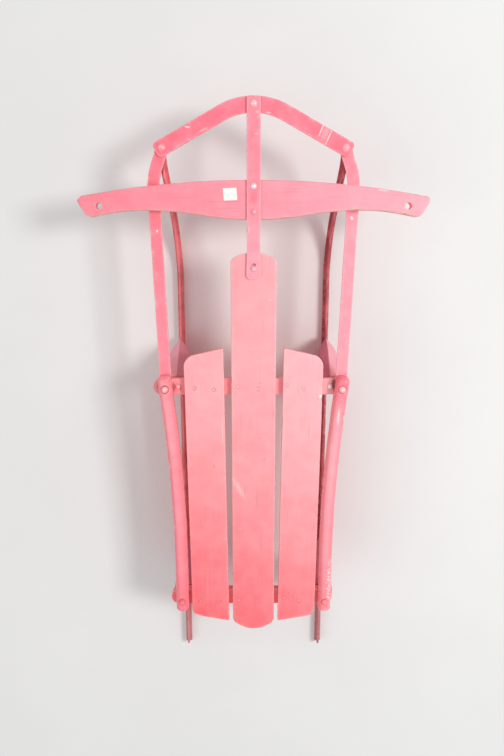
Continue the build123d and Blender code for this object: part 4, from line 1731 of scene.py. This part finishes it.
@dataclass
class Runners:
    """The two steel runners: an inverted tee that turns up at the front to a flat tip."""

    flange_width: float = 0.012
    flange: float = 0.003
    web: float = 0.003
    web_height: float = 0.017
    rise_angle: float = 50.0
    bend_radius: float = 0.130
    tip_radius: float = 0.025
    flare_lead: float = 0.006
    tip_lead: float = 0.010
    tip_reach: float = 0.009
    heel_round: float = 0.010
    heel_row: float = 0.014
    flat_start: float = 0.020
    flat_step: float = 0.008
    web_clearance: float = 0.002
    rooted_y: float = 0.130
    carried_setback: float = 0.012
    edge: float = 0.0006
    side_blend: float = 0.1
    dense_front: float = 0.34
    front_rows: int = 112

    def build(self) -> None:
        """Builds and dresses both runners."""
        for side in Side:
            self.runner(side)

    def route(self, side: Side) -> Route:
        """Lays the line of the flange's middle: along the floor, then outwards and up to the tip.

        Args:
            side: which side of the sled.

        Returns:
            The line.
        """
        low, high = corners(f"{side.word}_runner")
        tip = middle(f"{side.word}_tip_rivet")
        x = side.value * (min(abs(low[0]), abs(high[0])) + self.flange_width / 2)
        flat = self.flange / 2
        top = corners(f"{side.word}_side_bar")[0][2] - flat
        angle = math.radians(self.rise_angle)
        first = self.flare_lead + self.bend_radius * math.tan(angle / 2)
        second = first + (top - flat) / math.tan(angle)
        run = second + self.tip_radius * math.tan(angle / 2) + self.tip_lead
        flare = math.asin((tip[0] - x) / run)
        ahead = np.array([math.sin(flare), math.cos(flare), 0.0])
        upturn = np.array([x, tip[1] - run * math.cos(flare), flat])
        raised = upturn + np.array([0.0, 0.0, top - flat])
        points = [(x, low[1], flat), upturn, upturn + first * ahead]
        points += [raised + second * ahead, raised + (run + self.tip_reach) * ahead]
        return Route(points, (self.side_blend, self.bend_radius, self.tip_radius))

    def runner(self, side: Side) -> None:
        """Builds one runner: the tee's outline carried along its line, the web lower at heel and tip.

        Args:
            side: which side of the sled.
        """
        name = f"{side.word}_runner"
        route = self.route(side)
        curved = route.length - self.dense_front
        heel = np.unique(np.r_[edge_steps(self.heel_round, 8), self.heel_row])
        flat = np.arange(self.flat_start, curved, self.flat_step)
        along = np.r_[heel, flat, np.linspace(curved + 0.002, route.length, self.front_rows)]
        line, (across, up) = route.at(along), route.axes(along)
        limit = corners(f"{side.word}_side_bar")[0][2] - self.web_clearance
        room = (limit - line[:, 2]) / np.maximum(up[:, 2], 0.3)
        full = self.flange / 2 + self.web_height - round_drop(along, self.heel_round)
        width, height = self.profile(np.maximum(np.minimum(full, room), self.flange / 2 + 1e-5))
        ring = line[:, None] + across[:, None] * width[..., None] + up[:, None] * height[..., None]
        draft = Skin().add(capped(ring, line + up * self.flange * 0.2), closed=True)
        piece = draft.place(f"{name}_tee", "", "runner_steel", RunnerPaint(), name)
        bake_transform(piece)

    def profile(self, web_top: np.ndarray) -> tuple[np.ndarray, np.ndarray]:
        """Returns the tee's outline at each place along the runner.

        The outline goes round the flange and up the web, with each outer corner cut by a small round.

        Args:
            web_top: height of the web's top above the flange's middle at each place.

        Returns:
            The offsets across and the heights, in rows of one outline each.
        """
        half, flat, web, soft = self.flange_width / 2, self.flange / 2, self.web / 2, self.edge
        quarter = np.linspace(0.0, math.pi / 2, 4)
        near, far = soft * (1 - np.cos(quarter)), soft * np.sin(quarter)
        width = np.r_[half - soft + far, half - near, web + 2 * soft, web + soft * 0.7, web]
        height = np.r_[near - flat, flat - soft + far, flat, flat + soft * 0.7, flat + 2 * soft]
        width = np.broadcast_to(width, (len(web_top), len(width)))
        height = np.minimum(height, np.maximum(web_top, flat)[:, None])
        crown = np.minimum(soft, (web_top - flat) / 2)[:, None]
        width = np.concatenate([width, web - crown + crown * np.cos(quarter)], 1)
        height = np.concatenate([height, web_top[:, None] - crown + crown * np.sin(quarter)], 1)
        return np.concatenate([width, -width[:, ::-1]], 1), np.concatenate([height, height[:, ::-1]], 1)


@dataclass
class Knees:
    """The four pressed steel knees, each two pressings that meet in a ridge, with their rivets.

    A section holds its height, the ridge and the side in front, the same behind, and the shares of the
    inner and the outer reach.
    """

    foot_reach: float = 0.0036
    inner_reach: float = 0.029
    front_outer_reach: float = 0.024
    rear_outer_reach: float = 0.012
    corner: float = 0.010
    seam: float = 0.0011
    runner_x: float = 0.137
    # How much of the painted shade on the inner halves the left knees get; their inner faces turn to the
    # light.
    left_inner_shade: float = 0.72
    ridge_blend: float = 0.002
    wear: float = 0.15
    level_count: int = 48
    rivets: tuple[float, ...] = (0.046, 0.012, -0.026)
    rivet_height: float = 0.0145
    sections: tuple[tuple[float, ...], ...] = (
        (0.0060, 0.0640, 0.0540, 0.0460, 0.0380, 0.00, 0.00),
        (0.0240, 0.0680, 0.0580, 0.0480, 0.0400, 0.04, 0.05),
        (0.0360, 0.0665, 0.0570, 0.0430, 0.0360, 0.29, 0.30),
        (0.0500, 0.0630, 0.0535, 0.0370, 0.0310, 0.51, 0.50),
        (0.0680, 0.0550, 0.0460, 0.0300, 0.0255, 0.69, 0.70),
        (0.0920, 0.0380, 0.0310, 0.0210, 0.0185, 0.86, 0.88),
        (0.1208, 0.0155, 0.0143, 0.0155, 0.0143, 1.00, 1.00),
    )

    RIVET = dict(
        head_radius=0.0042, head_height=0.0022, shank_radius=0.002, shank_length=0.0015, nut_height=0.0
    )

    def build(self) -> None:
        """Builds and dresses the knees and their rivets."""
        for side in Side:
            for bench, reach in (("front", self.front_outer_reach), ("rear", self.rear_outer_reach)):
                self.knee(side, bench, reach)
                self.foot_rivets(side, bench)

    def knee(self, side: Side, bench: str, outer_reach: float) -> None:
        """Builds one knee: level outlines with rounded corners, from the runner's web up to the bench.

        Args:
            side: which side of the sled.
            bench: the bench above it, front or rear.
            outer_reach: how far it leans outwards.
        """
        node = f"{side.word}_{bench}_knee"
        centre_y = middle(f"{bench}_bench")[1]
        table = np.array(self.sections)
        levels = np.linspace(table[0, 0], table[-1, 0], self.level_count)
        rows = curve_through(table[:, 0], table[:, 1:], levels)
        front_ridge, front_side, rear_ridge, rear_side = rows.T[:4]
        inner, outer = (
            self.foot_reach + (reach - self.foot_reach) * np.clip(share, 0, 1)
            for reach, share in zip((self.inner_reach, outer_reach), rows.T[4:])
        )
        ridge = (outer - inner) / 2
        corner_x = np.stack([ridge, -inner, -inner, ridge, outer, outer], 1)
        corner_y = np.stack([front_ridge, front_side, -rear_side, -rear_ridge, -rear_side, front_side], 1)
        outline = self.rounded(np.stack([corner_x, corner_y], -1))
        height = np.broadcast_to(levels[:, None], outline.shape[:2])
        x = side.value * (self.runner_x + outline[..., 0])
        ring = np.stack([x, centre_y + outline[..., 1], height], -1)
        # The inner half of each knee keeps the deep paint as painted shade, weaker on the left knees.
        inward = np.clip(0.5 - (outline[..., 0] - ridge[:, None]) / self.ridge_blend, 0.0, 1.0)
        inward = np.concatenate([inward[:1], inward, inward[-1:]]) * side.pick(self.left_inner_shade, 1.0)
        grid = capped(ring, ring.mean(1, keepdims=True))
        draft = Skin().add(grid, closed=True, wear=self.wear, shelter=inward)
        paint = KneePaint(seed=centre_y * 7 + side.value)
        draft.place(f"{node}_pressing", "root", "knee_steel", paint, node)

    def rounded(self, corner: np.ndarray) -> np.ndarray:
        """Rounds each corner of the level outlines by a curve that leaves both edges at one distance.

        The curve is the quadratic one through the two leaving points with the corner as its control.

        Args:
            corner: the corners of each outline.

        Returns:
            The rounded outlines.
        """
        turn = np.linspace(0.0, 1.0, 7)[None, :, None]
        parts = []
        for k, size in enumerate((self.seam, self.corner, self.corner) * 2):
            here = corner[:, k]
            leaving = []
            for other in (corner[:, k - 1], corner[:, (k + 1) % 6]):
                edge = other - here
                length = np.linalg.norm(edge, axis=-1, keepdims=True)
                leaving.append((here + edge / length * np.minimum(size, 0.45 * length))[:, None])
            control = here[:, None] * 2 * turn * (1 - turn)
            parts.append(leaving[0] * (1 - turn) ** 2 + control + leaving[1] * turn**2)
        return np.concatenate(parts, 1)

    def foot_rivets(self, side: Side, bench: str) -> None:
        """Builds the rivets through a knee's foot and the runner's web, with a head on both faces.

        Args:
            side: which side of the sled.
            bench: the bench above the knee, front or rear.
        """
        centre_y = middle(f"{bench}_bench")[1]
        heads = []
        for y in self.rivets:
            for facing in (-1.0, 1.0):
                x = side.value * self.runner_x + facing * (self.foot_reach + GAP)
                foot = np.array([x, centre_y + y, self.rivet_height])
                heads.append(Fastener(foot, axis=(facing, 0.0, 0.0), **self.RIVET))
        place_fasteners(f"{side.word}_{bench}_foot_rivets", heads, KneePaint(seed=centre_y * 5))


@dataclass(frozen=True)
class Backdrop(Finish):
    """The dull, pale finish of the floor, with faint clouds."""

    colour: Colour = (0.80, 0.80, 0.79)
    paler: Colour = (0.824, 0.824, 0.8137)

    def dress(self, kit: NodeKit) -> None:
        """Adds the clouds."""
        tone = kit.patches(kit.place, (3.0,), 0.3, 0.7)
        kit.made(kit.shader, {"Base Color": kit.blend(tone, self.colour, self.paler), "Roughness": 0.9})


@dataclass
class Studio:
    """The camera, the lamps, the world and the pale floor."""

    eye: tuple[float, float, float] = (-0.0026, 0.3090, 1.1819)
    tilt: float = -12.5
    lens: float = 29.52
    sensor: float = 36.0
    world_strength: float = 0.60
    floor_half: float = 4.0
    lamps: tuple[tuple[str, tuple[float, float, float], float, float], ...] = (
        ("key", (1.9, 0.6, 2.6), 0.8, 50.0),
        ("fill", (-2.0, -0.8, 2.4), 2.0, 12.5),
    )

    def build(self) -> None:
        """Sets up everything round the sled."""
        bpy.context.scene.view_settings.view_transform = "Standard"
        self.camera()
        self.world()
        for name, spot, size, power in self.lamps:
            self.lamp(name, spot, size, power)
        self.floor()

    def camera(self) -> None:
        """Places the camera above the deck, a little in front of its middle."""
        data = bpy.data.cameras.new("camera")
        data.sensor_width = self.sensor
        data.lens = self.lens
        data.clip_start = 0.01
        camera = stand(bpy.data.objects.new("camera", data))
        camera.location = self.eye
        camera.rotation_euler = (math.radians(self.tilt), 0.0, 0.0)
        bpy.context.scene.camera = camera

    def world(self) -> None:
        """Lights the sled evenly with a pale sky."""
        world = bpy.data.worlds.new("sky")
        world.use_nodes = True
        background = world.node_tree.nodes["Background"]
        background.inputs["Color"].default_value = (1.0, 1.0, 1.0, 1.0)
        background.inputs["Strength"].default_value = self.world_strength
        bpy.context.scene.world = world

    def lamp(self, name: str, spot: Sequence[float], size: float, power: float) -> None:
        """Adds a soft square lamp that points at the middle of the sled.

        Args:
            name: the lamp's name.
            spot: its place.
            size: its side.
            power: its watts.
        """
        data = bpy.data.lights.new(name, "AREA")
        data.size = size
        data.energy = power
        lamp = stand(bpy.data.objects.new(name, data))
        lamp.location = spot
        x, y, z = spot
        lamp.rotation_euler = (math.atan2(math.hypot(x, y), z), 0.0, math.atan2(-y, -x) - math.pi / 2)

    def floor(self) -> None:
        """Lays a wide pale floor just under Z = 0."""
        span = np.linspace(-self.floor_half, self.floor_half, 9)
        x, y = np.meshgrid(span, span)
        points = np.stack([x, y, np.full_like(x, -GAP)], -1).reshape(-1, 3)
        mesh = bpy.data.meshes.new("floor")
        mesh.from_pydata(points.tolist(), [], grid_faces(9, 9).reshape(-1, 4).tolist())
        mesh.materials.append(Backdrop().build("floor_finish"))
        floor = stand(bpy.data.objects.new("floor", mesh))


def main() -> None:
    """Builds the sled's sub-assemblies in order and reports them."""
    logging.basicConfig(level=logging.INFO, format="%(message)s")
    Studio().build()
    for assembly in (Deck(), Rails(), Steering(), Bow(), Runners(), Knees()):
        log.info("%s", type(assembly).__name__)
        assembly.build()


if __name__ == "__main__":
    main()
